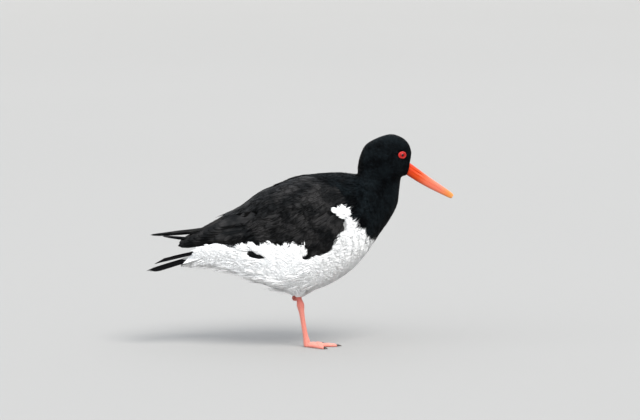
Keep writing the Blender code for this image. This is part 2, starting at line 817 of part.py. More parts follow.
def make_eyes(parts, tools, head):
    """Eyeballs in round sockets, each in a raised ring of bare skin that serves as the lids."""
    sockets = []
    for label, side in (("right", -1.0), ("left", 1.0)):
        centre = Vector((EYE_CENTRE.x, EYE_CENTRE.y * side, EYE_CENTRE.z))
        look = Vector((EYE_LOOK.x, EYE_LOOK.y * side, EYE_LOOK.z))
        bpy.ops.mesh.primitive_uv_sphere_add(segments=18, ring_count=10, radius=EYE_RADIUS, location=centre)
        eye = bpy.context.object
        eye.name = f"eye_{label}"
        for home in list(eye.users_collection):
            home.objects.unlink(eye)
        parts.objects.link(eye)
        eye.data.materials.append(material("eye"))
        smooth(eye)
        inner = [(RING_INNER, RING_FROM), (RING_INNER, RING_TO)]
        outer = [(RING_OUTER, RING_TO), (RING_OUTER, (RING_FROM + RING_TO) / 2), (RING_OUTER, RING_FROM)]
        profile = [(radius * math.sin(turn), radius * math.cos(turn)) for radius, turn in inner + outer]
        ring = add_object(f"eye_ring_{label}", turned("ring", profile, centre, look), parts, "eye_ring")
        smooth(ring)
        bpy.ops.mesh.primitive_uv_sphere_add(segments=18, ring_count=12, radius=SOCKET_RADIUS)
        bpy.context.object.data.transform(Matrix.Translation(centre))
        sockets.append(bpy.context.object)
    apply_boolean(head, "DIFFERENCE", sockets)
    keep_largest(head.data)
    smooth(head)


def toe_mesh(name, heading, length):
    """A toe that lies on the floor: rounded above, flat beneath."""
    way = Vector((math.cos(heading), math.sin(heading), 0.0))
    across = Vector((-way.y, way.x, 0.0))
    arch = 6
    knots = [row[0] for row in TOE_SECTIONS]
    steps = 11
    rings = []
    for s in range(steps + 1):
        share = knots[0] + (knots[-1] - knots[0]) * s / steps
        half, height = (through(knots, [row[k] for row in TOE_SECTIONS], share) for k in (1, 2))
        centre = FOOT_PAD + way * length * share
        ring = []
        for i in range(arch + 1):
            angle = math.pi * i / arch
            reach = half * math.copysign(abs(math.cos(angle)) ** 0.7, math.cos(angle))
            ring.append(centre + across * reach + Vector((0, 0, height * (0.32 + 0.68 * math.sin(angle)))))
        ring += [centre - across * half * 0.62, centre + across * half * 0.62]
        rings.append(ring)
    return loft(name, rings)


def claw_mesh(name, base, way, drop):
    """A short curved claw that starts inside the toe's end."""
    rings = []
    for share, thick in ((-0.25, 0.95), (0.1, 1.0), (0.4, 0.8), (0.7, 0.52), (1.0, 0.2)):
        centre = base + way * CLAW_LENGTH * share - Vector((0, 0, drop * max(0.0, share) ** 2))
        rings.append((centre, CLAW_RADIUS * thick, CLAW_RADIUS * thick * 0.85))
    return tube(name, rings, points=8)


def make_standing_foot(parts, tools):
    leg = add_object("tarsus_right", tube("tarsus_right", LEG_RINGS), parts, "leg_skin")
    smooth(leg, 60.0)
    toes = {}
    for label, heading, length in STANDING_TOES:
        name = f"toe_right_{label}"
        toes[label] = add_object(name, toe_mesh(name, heading, length), parts, "leg_skin")
    for label, heading, length in STANDING_TOES:
        clear_of(toes[label], [leg] if label == "middle" else [leg, toes["middle"]], tools)
        smooth(toes[label], 50.0)
        way = Vector((math.cos(heading), math.sin(heading), 0.0))
        base = FOOT_PAD + way * length + Vector((0, 0, 0.0021))
        name = f"claw_right_{label}"
        claw = add_object(name, claw_mesh(name, base, way, 0.0010), parts, "claw")
        clear_of(claw, [toes[label]], tools)
        smooth(claw, 50.0)


def make_drawn_leg(parts, tools):
    """The left shank from the hock forward along the belly, and its toes laid against the feathers."""
    end = on_surface(side_of_body, SHANK_END_X, SHANK_END_Z, SHANK_RADIUS + 0.0014, 1.0)
    run = end - HOCK
    rings = []
    for share, thick in SHANK_SECTIONS:
        rings.append((HOCK + run * share, SHANK_RADIUS * thick, SHANK_RADIUS * thick * 0.9))
    shank = add_object("tarsus_left", tube("tarsus_left", rings), parts, "leg_skin")
    smooth(shank, 60.0)
    made = [shank]
    for label, spread, length in DRAWN_TOES:
        rings = []
        for share in (0.0, 0.12, 0.28, 0.42, 0.56, 0.7, 0.85, 1.0):
            fan = spread * min(1.0, share * 2.5)
            x = SHANK_END_X + length * share * math.cos(DRAWN_TOE_RISE)
            z = SHANK_END_Z + length * share * math.sin(DRAWN_TOE_RISE) + fan
            thick = DRAWN_TOE_RADIUS * (1.12 - 0.30 * share + 0.10 * math.cos(share * 18.0))
            rings.append((on_surface(side_of_body, x, z, thick + 0.0010, 1.0), thick, thick))
        name = f"toe_left_{label}"
        toe = add_object(name, tube(name, rings, points=10), parts, "leg_skin")
        clear_of(toe, [shank] if label == "middle" else [shank, bpy.data.objects["toe_left_middle"]], tools)
        smooth(toe, 60.0)
        made.append(toe)
        way = (rings[-1][0] - rings[-2][0]).normalized()
        name = f"claw_left_{label}"
        base = rings[-1][0] + Vector((0, 0.0004, 0))
        claw = add_object(name, claw_mesh(name, base, way, 0.0012), parts, "claw")
        clear_of(claw, [toe], tools)
        smooth(claw, 50.0)
        made.append(claw)
    return made


def make_thighs(parts, tools, torso):
    """The feathered thighs, cut off where they meet the belly."""
    for label, rings in (("right", RIGHT_THIGH_RINGS), ("left", LEFT_THIGH_RINGS)):
        name = f"thigh_{label}"
        thigh = add_object(name, tube(name, rings, points=16), parts, "white_plumage")
        near = [torso, bpy.data.objects[f"tarsus_{label}"]]
        if label == "left":
            near.append(bpy.data.objects["thigh_right"])
        clear_of(thigh, near, tools)
        smooth(thigh, 60.0)


def main():
    clear_scene()
    parts = new_collection("oystercatcher")
    tools = new_collection("cutters")
    body = part_body(parts)
    make_eyes(parts, tools, body["head"])
    make_bill(parts, tools, body["head"])
    make_tail(body["tail"], tools)
    for name, side in (("wing_right", -1.0), ("wing_left", 1.0)):
        make_wing(name, side, parts, tools, body["torso"])
    make_standing_foot(parts, tools)
    clear_of(body["torso"], make_drawn_leg(parts, tools), tools)
    make_thighs(parts, tools, body["torso"])
    for name in ("torso", "neck"):
        smooth(body[name])


main()
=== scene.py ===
# %% [markdown]
# # An oystercatcher at rest, standing on one leg
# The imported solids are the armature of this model: they fix its size, its pose and its outline.
# This script dresses them as a taxidermist would, with a skin, thousands of feathers, a horny
# bill, glassy eyes and scaly legs. It loads the solids first, because every later piece is placed
# by them.

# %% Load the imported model
import json
import math

import bmesh
import bpy
import numpy as np
from mathutils import Matrix, Vector

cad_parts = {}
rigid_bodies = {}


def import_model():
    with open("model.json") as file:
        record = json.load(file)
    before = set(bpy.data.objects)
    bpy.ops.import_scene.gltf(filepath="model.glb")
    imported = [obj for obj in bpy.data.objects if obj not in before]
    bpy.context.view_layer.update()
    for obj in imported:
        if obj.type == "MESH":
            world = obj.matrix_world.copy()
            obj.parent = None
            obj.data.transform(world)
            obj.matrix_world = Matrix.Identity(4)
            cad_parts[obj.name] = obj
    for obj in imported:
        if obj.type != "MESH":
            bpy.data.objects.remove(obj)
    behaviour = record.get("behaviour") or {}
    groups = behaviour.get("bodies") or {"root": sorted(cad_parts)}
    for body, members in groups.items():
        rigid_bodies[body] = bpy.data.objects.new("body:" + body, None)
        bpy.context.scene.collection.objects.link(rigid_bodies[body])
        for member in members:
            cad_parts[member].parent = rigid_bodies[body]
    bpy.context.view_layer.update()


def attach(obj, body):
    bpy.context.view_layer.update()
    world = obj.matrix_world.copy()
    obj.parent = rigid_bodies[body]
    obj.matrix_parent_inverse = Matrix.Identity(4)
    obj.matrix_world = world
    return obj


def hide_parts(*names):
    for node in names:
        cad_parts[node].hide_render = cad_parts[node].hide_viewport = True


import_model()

# %% [markdown]
# ## The shape of the plumage
# A bird's outline is the outline of its feathers. The solids were lofted from a short table of
# sections, from the tail to the face, and the same table gives this script a surface to lay
# feathers on. A place on it has two numbers: p, the section along the bird, and q, the angle
# round it from the back.

# %% Sections of the body and of the folded wings
FULLNESS = 0.90
# back x, back z, front x, front z, half width
BODY_SECTIONS = np.array([
    (-0.1610, 0.1125, -0.1640, 0.1060, 0.0080), (-0.1450, 0.1200, -0.1480, 0.1060, 0.0140),
    (-0.1280, 0.1285, -0.1290, 0.1060, 0.0195), (-0.1080, 0.1410, -0.1080, 0.1030, 0.0262),
    (-0.0860, 0.1610, -0.0860, 0.0940, 0.0345), (-0.0620, 0.1860, -0.0620, 0.0850, 0.0425),
    (-0.0380, 0.2080, -0.0380, 0.0765, 0.0488), (-0.0150, 0.2205, -0.0155, 0.0718, 0.0530),
    (0.0080, 0.2260, 0.0070, 0.0755, 0.0556), (0.0300, 0.2280, 0.0300, 0.0840, 0.0562),
    (0.0490, 0.2280, 0.0570, 0.1015, 0.0540), (0.0600, 0.2265, 0.0790, 0.1260, 0.0482),
    (0.0650, 0.2260, 0.0935, 0.1480, 0.0400), (0.0660, 0.2290, 0.1075, 0.1680, 0.0320),
    (0.0662, 0.2370, 0.1170, 0.1870, 0.0265), (0.0690, 0.2500, 0.1195, 0.2050, 0.0240),
    (0.0760, 0.2640, 0.1208, 0.2160, 0.0228), (0.0900, 0.2728, 0.1220, 0.2220, 0.0215),
    (0.1080, 0.2782, 0.1250, 0.2242, 0.0195), (0.1220, 0.2745, 0.1280, 0.2250, 0.0165),
    (0.1312, 0.2665, 0.1302, 0.2270, 0.0125), (0.1350, 0.2560, 0.1318, 0.2310, 0.0080),
    (0.1355, 0.2490, 0.1330, 0.2370, 0.0040),
])
LAST = len(BODY_SECTIONS) - 1
# x, top z, bottom z, half width, share of the height where it is widest
WING_OUTLINE = np.array([
    (-0.2060, 0.1515, 0.1340, 0.0070, 0.60), (-0.1750, 0.1545, 0.1250, 0.0138, 0.60),
    (-0.1500, 0.1575, 0.1180, 0.0208, 0.57), (-0.1300, 0.1630, 0.1130, 0.0270, 0.53),
    (-0.1080, 0.1728, 0.1080, 0.0340, 0.50), (-0.0860, 0.1838, 0.1010, 0.0414, 0.46),
    (-0.0620, 0.2020, 0.0940, 0.0486, 0.45), (-0.0380, 0.2130, 0.0850, 0.0545, 0.46),
    (-0.0150, 0.2225, 0.0810, 0.0586, 0.47), (0.0100, 0.2255, 0.0850, 0.0606, 0.48),
    (0.0350, 0.2258, 0.0980, 0.0603, 0.48), (0.0600, 0.2250, 0.1180, 0.0550, 0.50),
])

print("sections", len(BODY_SECTIONS), "of the body and", len(WING_OUTLINE), "of a wing")

# %% Surfaces to lay feathers on


def through(knots, values, at):
    """The smooth curve through values at knots, read at many places at once."""
    knots, values = np.asarray(knots, float), np.asarray(values, float)
    at = np.clip(at, knots[0], knots[-1])
    i = np.clip(np.searchsorted(knots, at, side="right") - 1, 0, len(knots) - 2)
    low = np.maximum(np.arange(len(knots)) - 1, 0)
    high = np.minimum(np.arange(len(knots)) + 1, len(knots) - 1)
    slope = (values[high] - values[low]) / (knots[high] - knots[low])
    span = knots[i + 1] - knots[i]
    t = (at - knots[i]) / span
    return (
        (2 * t**3 - 3 * t**2 + 1) * values[i]
        + (t**3 - 2 * t**2 + t) * span * slope[i]
        + (3 * t**2 - 2 * t**3) * values[i + 1]
        + (t**3 - t**2) * span * slope[i + 1]
    )


FINE = np.linspace(0.0, LAST, 1101)
FINE_ROWS = [through(np.arange(LAST + 1), BODY_SECTIONS[:, k], FINE) for k in range(5)]


def body_point(p, q):
    """Points on the outside of the plumage, p sections from the tail and q round from the back."""
    back_x, back_z, front_x, front_z, half = (np.interp(p, FINE, row) for row in FINE_ROWS)
    c, s = np.cos(q), np.sin(q)
    down = 0.5 - 0.5 * np.sign(c) * np.abs(c) ** FULLNESS
    side = np.sign(s) * np.abs(s) ** FULLNESS * half
    return np.stack([back_x + (front_x - back_x) * down, side, back_z + (front_z - back_z) * down], -1)


def oval_point(x, q, top, bottom, half, widest):
    """Points on an upright oval section at x, q round from its top."""
    c, s = np.cos(q), np.sin(q)
    reach = np.abs(c) ** FULLNESS
    down = np.where(c > 0, widest * (1.0 - reach), widest + (1.0 - widest) * reach)
    side = np.sign(s) * np.abs(s) ** FULLNESS * half
    return np.stack([x + 0.0 * q, side, top - (top - bottom) * down], -1)


def wing_point(x, q):
    """Points on the outside of the folded wings, at x and q round from the back."""
    return oval_point(x, q, *(through(WING_OUTLINE[:, 0], WING_OUTLINE[:, k], x) for k in range(1, 5)))


FLANK_ROWS = np.vstack([BODY_SECTIONS[:11], (0.0640, 0.2265, 0.0640, 0.1130, 0.0505)])


def flank_point(x, q):
    """Points on the flank: the body low down, and the wing where it stands out over the body."""
    top, bottom, half = (through(FLANK_ROWS[:, 0], FLANK_ROWS[:, k], x) for k in (1, 3, 4))
    body = oval_point(x, q, top, bottom, half, 0.5)
    wing = wing_point(x, q)
    share = np.clip((wing[..., 2] - 0.098) / 0.030, 0.0, 1.0) * np.clip((0.064 - x) / 0.016, 0.0, 1.0)
    return body + (wing - body) * (share * share * (3.0 - 2.0 * share))[..., None]


print("body widest", round(2000 * FINE_ROWS[4].max(), 1), "mm")

# %% [markdown]
# ## Walking a feather over the surface
# Every feather starts at its root and lies back over the body, so its shaft is a short walk on
# the surface. The walk is done for thousands of feathers at once with arrays: at each step the
# surface's own slopes turn a distance in metres into a change of p and q.

# %% Walk along a surface


def unit(v):
    """Vectors made one long."""
    return v / np.maximum(np.linalg.norm(v, axis=-1, keepdims=True), 1e-12)


def slopes(surface, p, q, step_p, step_q=0.01):
    """How far the surface moves for one unit of p and of q, and its outward normal."""
    along = (surface(p + step_p, q) - surface(p - step_p, q)) / (2 * step_p)
    about = (surface(p, q + step_q) - surface(p, q - step_q)) / (2 * step_q)
    return along, about, unit(np.cross(along, about))


def walk(surface, p, q, turn, length, shares, step_p):
    """Walks back from each root; turn is the angle off straight back, towards larger q."""
    # No step is divided by a smaller slope; p counts metres on the wing, and sections elsewhere
    least = 0.002 if step_p > 0.002 else 0.2
    places, ups, ways = [], [], []
    gone = np.zeros_like(length)
    for share in shares:
        along, about, up = slopes(surface, p, q, step_p)
        step = length * share - gone
        gone = length * share
        p = p - np.cos(turn) * step / np.maximum(np.linalg.norm(along, axis=-1), least)
        q = q + np.sin(turn) * step / np.maximum(np.linalg.norm(about, axis=-1), 0.002)
        along, about, up = slopes(surface, p, q, step_p)
        places.append(surface(p, q))
        ups.append(up)
        ways.append(-np.cos(turn)[..., None] * unit(along) + np.sin(turn)[..., None] * unit(about))
    return np.stack(places, -2), np.stack(ups, -2), np.stack(ways, -2)


trial = walk(body_point, np.array([8.0]), np.array([1.0]), np.zeros(1), np.array([0.02]), (0.0, 1.0),
             0.03)
span = np.linalg.norm(trial[0][0, 1] - trial[0][0, 0])
print("a walk of 20 mm over the side ends", round(1000 * float(span), 1), "mm away")

# %% [markdown]
# ## Building many vanes as one mesh
# A feather or a lock of barbs is a thin closed blade: a point at the root, a few rings and a
# point at the tip. All the blades of a piece are joined into one mesh straight from arrays,
# because a mesh survives export where particle hair does not. Each blade also gets its own small
# patch in a map called OFBake, placed where its root sits on the unwrapped skin, and a map called
# Vane that runs across and along it.

# %% Blades from arrays
LOCK = ((-1.0, 0.0), (0.0, 1.0), (1.0, 0.0), (0.0, -1.0))
VANE = ((-1.0, 0.0), (-0.5, 0.9), (0.0, 1.6), (0.5, 0.9), (1.0, 0.0), (0.0, -0.8))
PATCH = 0.003


def blades(path, up, way, half, thick, profile, shares, map_place, shade):
    """Arrays for N blades; path, up and way are N by T by 3, half and thick N by T, ends are points."""
    side = unit(np.cross(up, way))
    up = unit(np.cross(way, side))
    n, t = path.shape[:2]
    rings, k = t - 2, len(profile)
    points = np.empty((n, 2 + rings * k, 3))
    points[:, 0] = path[:, 0]
    points[:, -1] = path[:, -1]
    local = np.empty((2 + rings * k, 2))
    local[0], local[-1] = (0.5, shares[0]), (0.5, shares[-1])
    for r in range(rings):
        for j, (c, h) in enumerate(profile):
            at = 1 + r * k + j
            points[:, at] = (
                path[:, r + 1]
                + side[:, r + 1] * (half[:, r + 1] * c)[:, None]
                + up[:, r + 1] * (thick[:, r + 1] * h)[:, None]
            )
            local[at] = (0.5 + 0.5 * c, shares[r + 1])
    faces = []
    for j in range(k):
        j2 = (j + 1) % k
        faces.append((0, 1 + j2, 1 + j))
        for r in range(rings - 1):
            a, b = 1 + r * k, 1 + (r + 1) * k
            faces += [(a + j, a + j2, b + j), (a + j2, b + j2, b + j)]
        a = 1 + (rings - 1) * k
        faces.append((a + j, a + j2, 1 + rings * k))
    faces = np.array(faces)
    offset = (np.arange(n) * points.shape[1])[:, None, None]
    return {
        "points": points.reshape(-1, 3),
        "faces": (faces[None] + offset).reshape(-1, 3),
        "vane": np.tile(local, (n, 1)),
        "bake": (map_place[:, None, :] + (local[None] - 0.5) * PATCH).reshape(-1, 2),
        "shade": np.repeat(shade, points.shape[1]),
    }


print("corners round a lock", len(LOCK), "and round a vane", len(VANE))

# %% From blades to an object
MAPS = ("points", "vane", "bake", "shade")


def join_blades(sets):
    """Several sets of blades as one."""
    shift, faces = 0, []
    for made in sets:
        faces.append(made["faces"] + shift)
        shift += len(made["points"])
    joined = {k: np.concatenate([made[k] for made in sets]) for k in MAPS}
    joined["faces"] = np.concatenate(faces)
    return joined


def mesh_object(name, data, material):
    """An object from arrays, with its maps and its shade for each blade."""
    mesh = bpy.data.meshes.new(name)
    points, faces = data["points"], data["faces"]
    mesh.vertices.add(len(points))
    mesh.vertices.foreach_set("co", points.ravel())
    mesh.loops.add(faces.size)
    mesh.loops.foreach_set("vertex_index", faces.ravel().astype(np.int32))
    mesh.polygons.add(len(faces))
    mesh.polygons.foreach_set("loop_start", np.arange(0, faces.size, 3, dtype=np.int32))
    mesh.update(calc_edges=True)
    for label, key in (("OFBake", "bake"), ("Vane", "vane")):
        layer = mesh.uv_layers.new(name=label)
        layer.uv.foreach_set("vector", data[key][faces.ravel()].ravel().astype(np.float32))
    shade = mesh.attributes.new("shade", "FLOAT", "POINT")
    shade.data.foreach_set("value", data["shade"].astype(np.float32))
    mesh.materials.append(material)
    made = bpy.data.objects.new(name, mesh)
    bpy.context.scene.collection.objects.link(made)
    return made


print("kept for each point of a blade", MAPS)

# %% [markdown]
# ## Finishes shared by several pieces
# Barbs, the fine side branches of a feather, catch the light in streaks. One node group draws
# them from the Vane map and is used by every plumage material with its own values. A second group
# makes the small scales and creases of horn and leg skin. Both put out only masks and heights.

# %% Node groups


def new_group(name, inputs, outputs):
    """An empty shader node group with named float sockets."""
    tree = bpy.data.node_groups.new(name, "ShaderNodeTree")
    for label, value in inputs:
        socket = tree.interface.new_socket(label, in_out="INPUT", socket_type="NodeSocketFloat")
        socket.default_value = value
    for label in outputs:
        tree.interface.new_socket(label, in_out="OUTPUT", socket_type="NodeSocketFloat")
    return tree, tree.nodes.new("NodeGroupInput"), tree.nodes.new("NodeGroupOutput")


def plug(tree, socket, value):
    """Gives a socket a number, a colour or a link from another socket."""
    if isinstance(value, tuple):
        socket.default_value = (*value, 1.0)
    elif isinstance(value, (int, float)):
        socket.default_value = value
    else:
        tree.links.new(value, socket)


def maths(tree, operation, a, b=None, clamp=False):
    """A maths node whose inputs are sockets or numbers."""
    node = tree.nodes.new("ShaderNodeMath")
    node.operation = operation
    node.use_clamp = clamp
    for socket, value in zip(node.inputs, (a, b)):
        if value is not None:
            plug(tree, socket, value)
    return node.outputs[0]


def object_place(tree):
    """The object's own coordinates, which stay on the surface in every view."""
    return tree.nodes.new("ShaderNodeTexCoord").outputs["Object"]


def heights(tree, place):
    """The x, y and z of a place as three sockets."""
    split = tree.nodes.new("ShaderNodeSeparateXYZ")
    tree.links.new(place, split.inputs[0])
    return split.outputs


def noise_at(tree, place, scale):
    """The strength of a noise at a place."""
    node = tree.nodes.new("ShaderNodeTexNoise")
    if place is not None:
        tree.links.new(place, node.inputs["Vector"])
    plug(tree, node.inputs["Scale"], scale)
    return node.outputs[0]


def barb_group():
    """Barbs from the Vane map: streaks for the colour and a height for the bump."""
    tree, given, out = new_group("Barbs", (("Count", 40.0), ("Slant", 6.0)), ("Streak", "Height"))
    uv = tree.nodes.new("ShaderNodeUVMap")
    uv.uv_map = "Vane"
    across, along, _ = heights(tree, uv.outputs[0])
    off = maths(tree, "ABSOLUTE", maths(tree, "SUBTRACT", across, 0.5))
    run = maths(tree, "SUBTRACT", maths(tree, "MULTIPLY", along, given.outputs["Count"]),
                maths(tree, "MULTIPLY", off, given.outputs["Slant"]))
    wave = maths(tree, "SINE", maths(tree, "MULTIPLY", run, math.tau))
    shaft = maths(tree, "SUBTRACT", 1.0, maths(tree, "MULTIPLY", off, 22.0), clamp=True)
    streak = maths(tree, "ADD", maths(tree, "MULTIPLY", wave, 0.35), noise_at(tree, None, 420.0))
    tree.links.new(streak, out.inputs["Streak"])
    tree.links.new(maths(tree, "ADD", maths(tree, "MULTIPLY", wave, 0.5), shaft), out.inputs["Height"])
    return tree


def scale_group():
    """Small rounded scales from the object's own coordinates."""
    tree, given, out = new_group("Scales", (("Size", 900.0), ("Wobble", 60.0)), ("Height", "Crease"))
    place = object_place(tree)
    cells = tree.nodes.new("ShaderNodeTexVoronoi")
    cells.feature = "DISTANCE_TO_EDGE"
    tree.links.new(place, cells.inputs["Vector"])
    tree.links.new(given.outputs["Size"], cells.inputs["Scale"])
    wobble = noise_at(tree, place, given.outputs["Wobble"])
    edge = maths(tree, "MULTIPLY", cells.outputs["Distance"], 5.0, clamp=True)
    tree.links.new(maths(tree, "ADD", edge, maths(tree, "MULTIPLY", wobble, 0.6)), out.inputs["Height"])
    tree.links.new(maths(tree, "SUBTRACT", 1.0, edge), out.inputs["Crease"])
    return tree


BARBS = barb_group()
SCALES = scale_group()
print("node groups", BARBS.name, SCALES.name)

# %% [markdown]
# ## Plumage materials
# Black plumage is a very dark grey with a faint gloss, paler where the sun has worn the wing. White
# plumage is not pure white: each feather differs a little from the next. The shade attribute written
# with each blade picks a tone between two colours; on the wings it also carries painted shadow along
# the scapulars, painted shade low in front and painted light on the lower coverts.

# %% Plumage
# Scale of the patches of tone, each about twenty millimetres across
PATCHES = 48.0


def principled(name, colour, roughness, **fixed):
    """A material with one Principled shader; values that are the same all over sit on its sockets."""
    made = bpy.data.materials.new(name)
    made.use_nodes = True
    shader = made.node_tree.nodes["Principled BSDF"]
    shader.inputs["Base Color"].default_value = (*colour, 1.0)
    shader.inputs["Roughness"].default_value = roughness
    for label, value in fixed.items():
        shader.inputs[label.replace("_", " ")].default_value = value
    made.diffuse_color = (*colour, 1.0)
    return made, made.node_tree, shader


def blend(tree, share, low, high):
    """A colour between two, by a socket."""
    node = tree.nodes.new("ShaderNodeMix")
    node.data_type = "RGBA"
    for socket, value in ((node.inputs[0], share), (node.inputs[6], low), (node.inputs[7], high)):
        plug(tree, socket, value)
    return node.outputs[2]


def grouped(tree, group, **values):
    """A node group placed in a material with its own values."""
    node = tree.nodes.new("ShaderNodeGroup")
    node.node_tree = group
    for label, value in values.items():
        node.inputs[label].default_value = value
    return node


def bump(tree, shader, height, strength, distance):
    """A bump from a height on the shader's normal."""
    node = tree.nodes.new("ShaderNodeBump")
    node.inputs["Strength"].default_value = strength
    node.inputs["Distance"].default_value = distance
    tree.links.new(height, node.inputs["Height"])
    tree.links.new(node.outputs[0], shader.inputs["Normal"])


def plumage(name, dark, light, roughness, count, patchy, relief, **fixed):
    """Feathers between two tones, streaked along their barbs, in patches a few feathers wide.

    count is barbs to a vane, patchy how far the patches part in tone, relief the barbs' height.
    """
    made, tree, shader = principled(name, light, roughness, **fixed)
    barbs = grouped(tree, BARBS, Count=count, Slant=count * 0.25)
    shade = tree.nodes.new("ShaderNodeAttribute")
    shade.attribute_name = "shade"
    patches = noise_at(tree, object_place(tree), PATCHES)
    patches.node.inputs["Detail"].default_value = 3.0
    streak = maths(tree, "MULTIPLY", maths(tree, "SUBTRACT", barbs.outputs["Streak"], 0.5), 0.5)
    patch = maths(tree, "MULTIPLY", maths(tree, "SUBTRACT", patches, 0.5), patchy)
    tone = maths(tree, "ADD", maths(tree, "ADD", shade.outputs["Fac"], streak), patch, clamp=True)
    tree.links.new(blend(tree, tone, dark, light), shader.inputs["Base Color"])
    bump(tree, shader, barbs.outputs["Height"], relief, 0.0002)
    return made


BLACK = plumage("black_plumage", (0.0001, 0.0004, 0.0008), (0.0062, 0.0095, 0.0115), 0.50, 14.0, 3.4,
                0.35, Specular_IOR_Level=0.04)
WHITE = plumage("white_plumage", (0.90, 0.90, 0.89), (0.98, 0.98, 0.98), 0.75, 14.0, 0.3, 0.06,
                Specular_IOR_Level=0.15, Sheen_Weight=0.4)
WING = plumage("wing_plumage", (0.0006, 0.0010, 0.0014), (0.0215, 0.0205, 0.0205), 0.50, 34.0, 4.4,
               0.35, Specular_IOR_Level=0.10)
print("plumage", BLACK.name, WHITE.name, WING.name)

# %% [markdown]
# ## Markings
# The pied pattern is a rule about places, used for the skin and for every feather. Head, neck,
# bib and mantle are black; the rest of the body is white, and the line climbs from the bib to a
# white peak in front of the wing. A feather takes the colour of the place its tip reaches, so the
# border is ragged.

# %% Where the plumage is black
# x and the lowest z that is still black, from the rear of the mantle to the tip of the bib
BLACK_LINE = np.array([
    (-0.0700, 0.2600), (-0.0600, 0.1900), (-0.0300, 0.1930), (0.0000, 0.1950), (0.0200, 0.1890),
    (0.0310, 0.1865), (0.0400, 0.1908), (0.0450, 0.1920), (0.0490, 0.1895), (0.0530, 0.1840),
    (0.0590, 0.1745), (0.0655, 0.1635), (0.0750, 0.1526), (0.0827, 0.1446), (0.0860, 0.1395),
])


def is_black(place):
    """True where the body's plumage is black."""
    return place[..., 2] > np.interp(place[..., 0], BLACK_LINE[:, 0], BLACK_LINE[:, 1])

print("black at the crown", bool(is_black(np.array([0.11, 0.0, 0.27]))))

# %% Where the wing shows
# The wing's visible edge in the side view, where white breast and flank feathers lie over it
WING_EDGE = np.array([
    (-0.2100, 0.1200), (-0.1640, 0.1310), (-0.1390, 0.1340), (-0.1320, 0.1375), (-0.1235, 0.1385),
    (-0.1066, 0.1372), (-0.1016, 0.1329), (-0.0986, 0.1350), (-0.0897, 0.1408), (-0.0768, 0.1437),
    (-0.0698, 0.1450), (-0.0683, 0.1436), (-0.0670, 0.1379), (-0.0619, 0.1421), (-0.0529, 0.1449),
    (-0.0469, 0.1431), (-0.0330, 0.1404), (-0.0300, 0.1444), (-0.0240, 0.1465), (-0.0220, 0.1437),
    (-0.0166, 0.1481), (-0.0126, 0.1420), (-0.0071, 0.1420), (-0.0012, 0.1466), (-0.0001, 0.1452),
    (-0.0036, 0.1351), (0.0078, 0.1331), (0.0028, 0.1270), (-0.0052, 0.1223), (-0.0052, 0.1203),
    (0.0118, 0.1281), (0.0157, 0.1275), (0.0307, 0.1331), (0.0326, 0.1370), (0.0267, 0.1400),
    (0.0337, 0.1436), (0.0376, 0.1530), (0.0455, 0.1570), (0.0494, 0.1630), (0.0494, 0.1722),
    (0.0421, 0.1738), (0.0290, 0.1860), (0.0290, 0.2600), (-0.2100, 0.2600),
])
MARK = np.array([
    (-0.0763, 0.1269), (-0.0738, 0.1300), (-0.0678, 0.1300), (-0.0648, 0.1259), (-0.0579, 0.1251),
    (-0.0549, 0.1238), (-0.0589, 0.1211), (-0.0668, 0.1201), (-0.0738, 0.1225),
])


def inside(outline, x, z):
    """True where points of the side view lie in a closed outline."""
    hit = np.zeros(np.shape(x), dtype=bool)
    for (x1, z1), (x2, z2) in zip(outline, np.roll(outline, -1, axis=0)):
        crosses = (z1 > z) != (z2 > z)
        hit ^= crosses & (x < (x2 - x1) * (z - z1) / (z2 - z1 + 1e-12) + x1)
    return hit


def shows_wing(x, z):
    """True where the dark wing shows in the side view: above its edge, and in a gap of the flank."""
    return inside(WING_EDGE, x, z) | inside(MARK, x, z)


seen = shows_wing(np.array([-0.050, -0.050]), np.array([0.170, 0.110]))
print("wing shows on the side and on the belly", seen.tolist())

# %% [markdown]
# ## The skin
# Under the feathers a bird is much smaller than it looks. The skin is the same loft drawn in by
# the depth of the coat, with hollows round the eyes, and the thighs joined to it by a Boolean
# union so that no seam is left. It carries the same markings, so no gap between feathers shows a
# wrong colour.

# %% Measures of the eyes and thighs
EYE_CENTRE = Vector((0.1222, 0.0130, 0.2525))
EYE_LOOK = Vector((0.30, 1.0, 0.05)).normalized()
EYE_RADIUS = 0.0055
HOLLOW_RADIUS, HOLLOW_DEPTH = 0.0062, 0.0016
# Rings of the thighs from the ankle up: middle x, y and z, half widths fore and aft and across
THIGHS = {
    "right": np.array([
        (-0.0105, -0.0106, 0.0655, 0.0044, 0.0041), (-0.0112, -0.0115, 0.0690, 0.0072, 0.0062),
        (-0.0125, -0.0145, 0.0760, 0.0120, 0.0092), (-0.0135, -0.0185, 0.0860, 0.0170, 0.0130),
        (-0.0140, -0.0240, 0.1000, 0.0190, 0.0150),
    ]),
    "left": np.array([
        (-0.0170, 0.0108, 0.0640, 0.0034, 0.0034), (-0.0180, 0.0120, 0.0690, 0.0056, 0.0052),
        (-0.0200, 0.0150, 0.0760, 0.0095, 0.0080), (-0.0225, 0.0190, 0.0860, 0.0140, 0.0110),
        (-0.0240, 0.0230, 0.1000, 0.0170, 0.0140),
    ]),
}


def mirrored(v, side):
    """A vector on the right side (-1) or the left side (1) of the bird."""
    return Vector((v.x, v.y * side, v.z))


EYE_PLACES = [np.array(mirrored(EYE_CENTRE, side)) for side in (1.0, -1.0)]
print("eye middles", [eye.round(4).tolist() for eye in EYE_PLACES])

# %% Skin


def coat_depth(p):
    """How far the skin lies under the outside of the plumage."""
    return np.interp(p, (0.0, 2.0, 4.0, 12.0, 14.0, 16.0, 19.0, LAST),
                     (1.5, 2.4, 3.4, 3.2, 2.4, 1.5, 1.0, 0.6)) / 1000


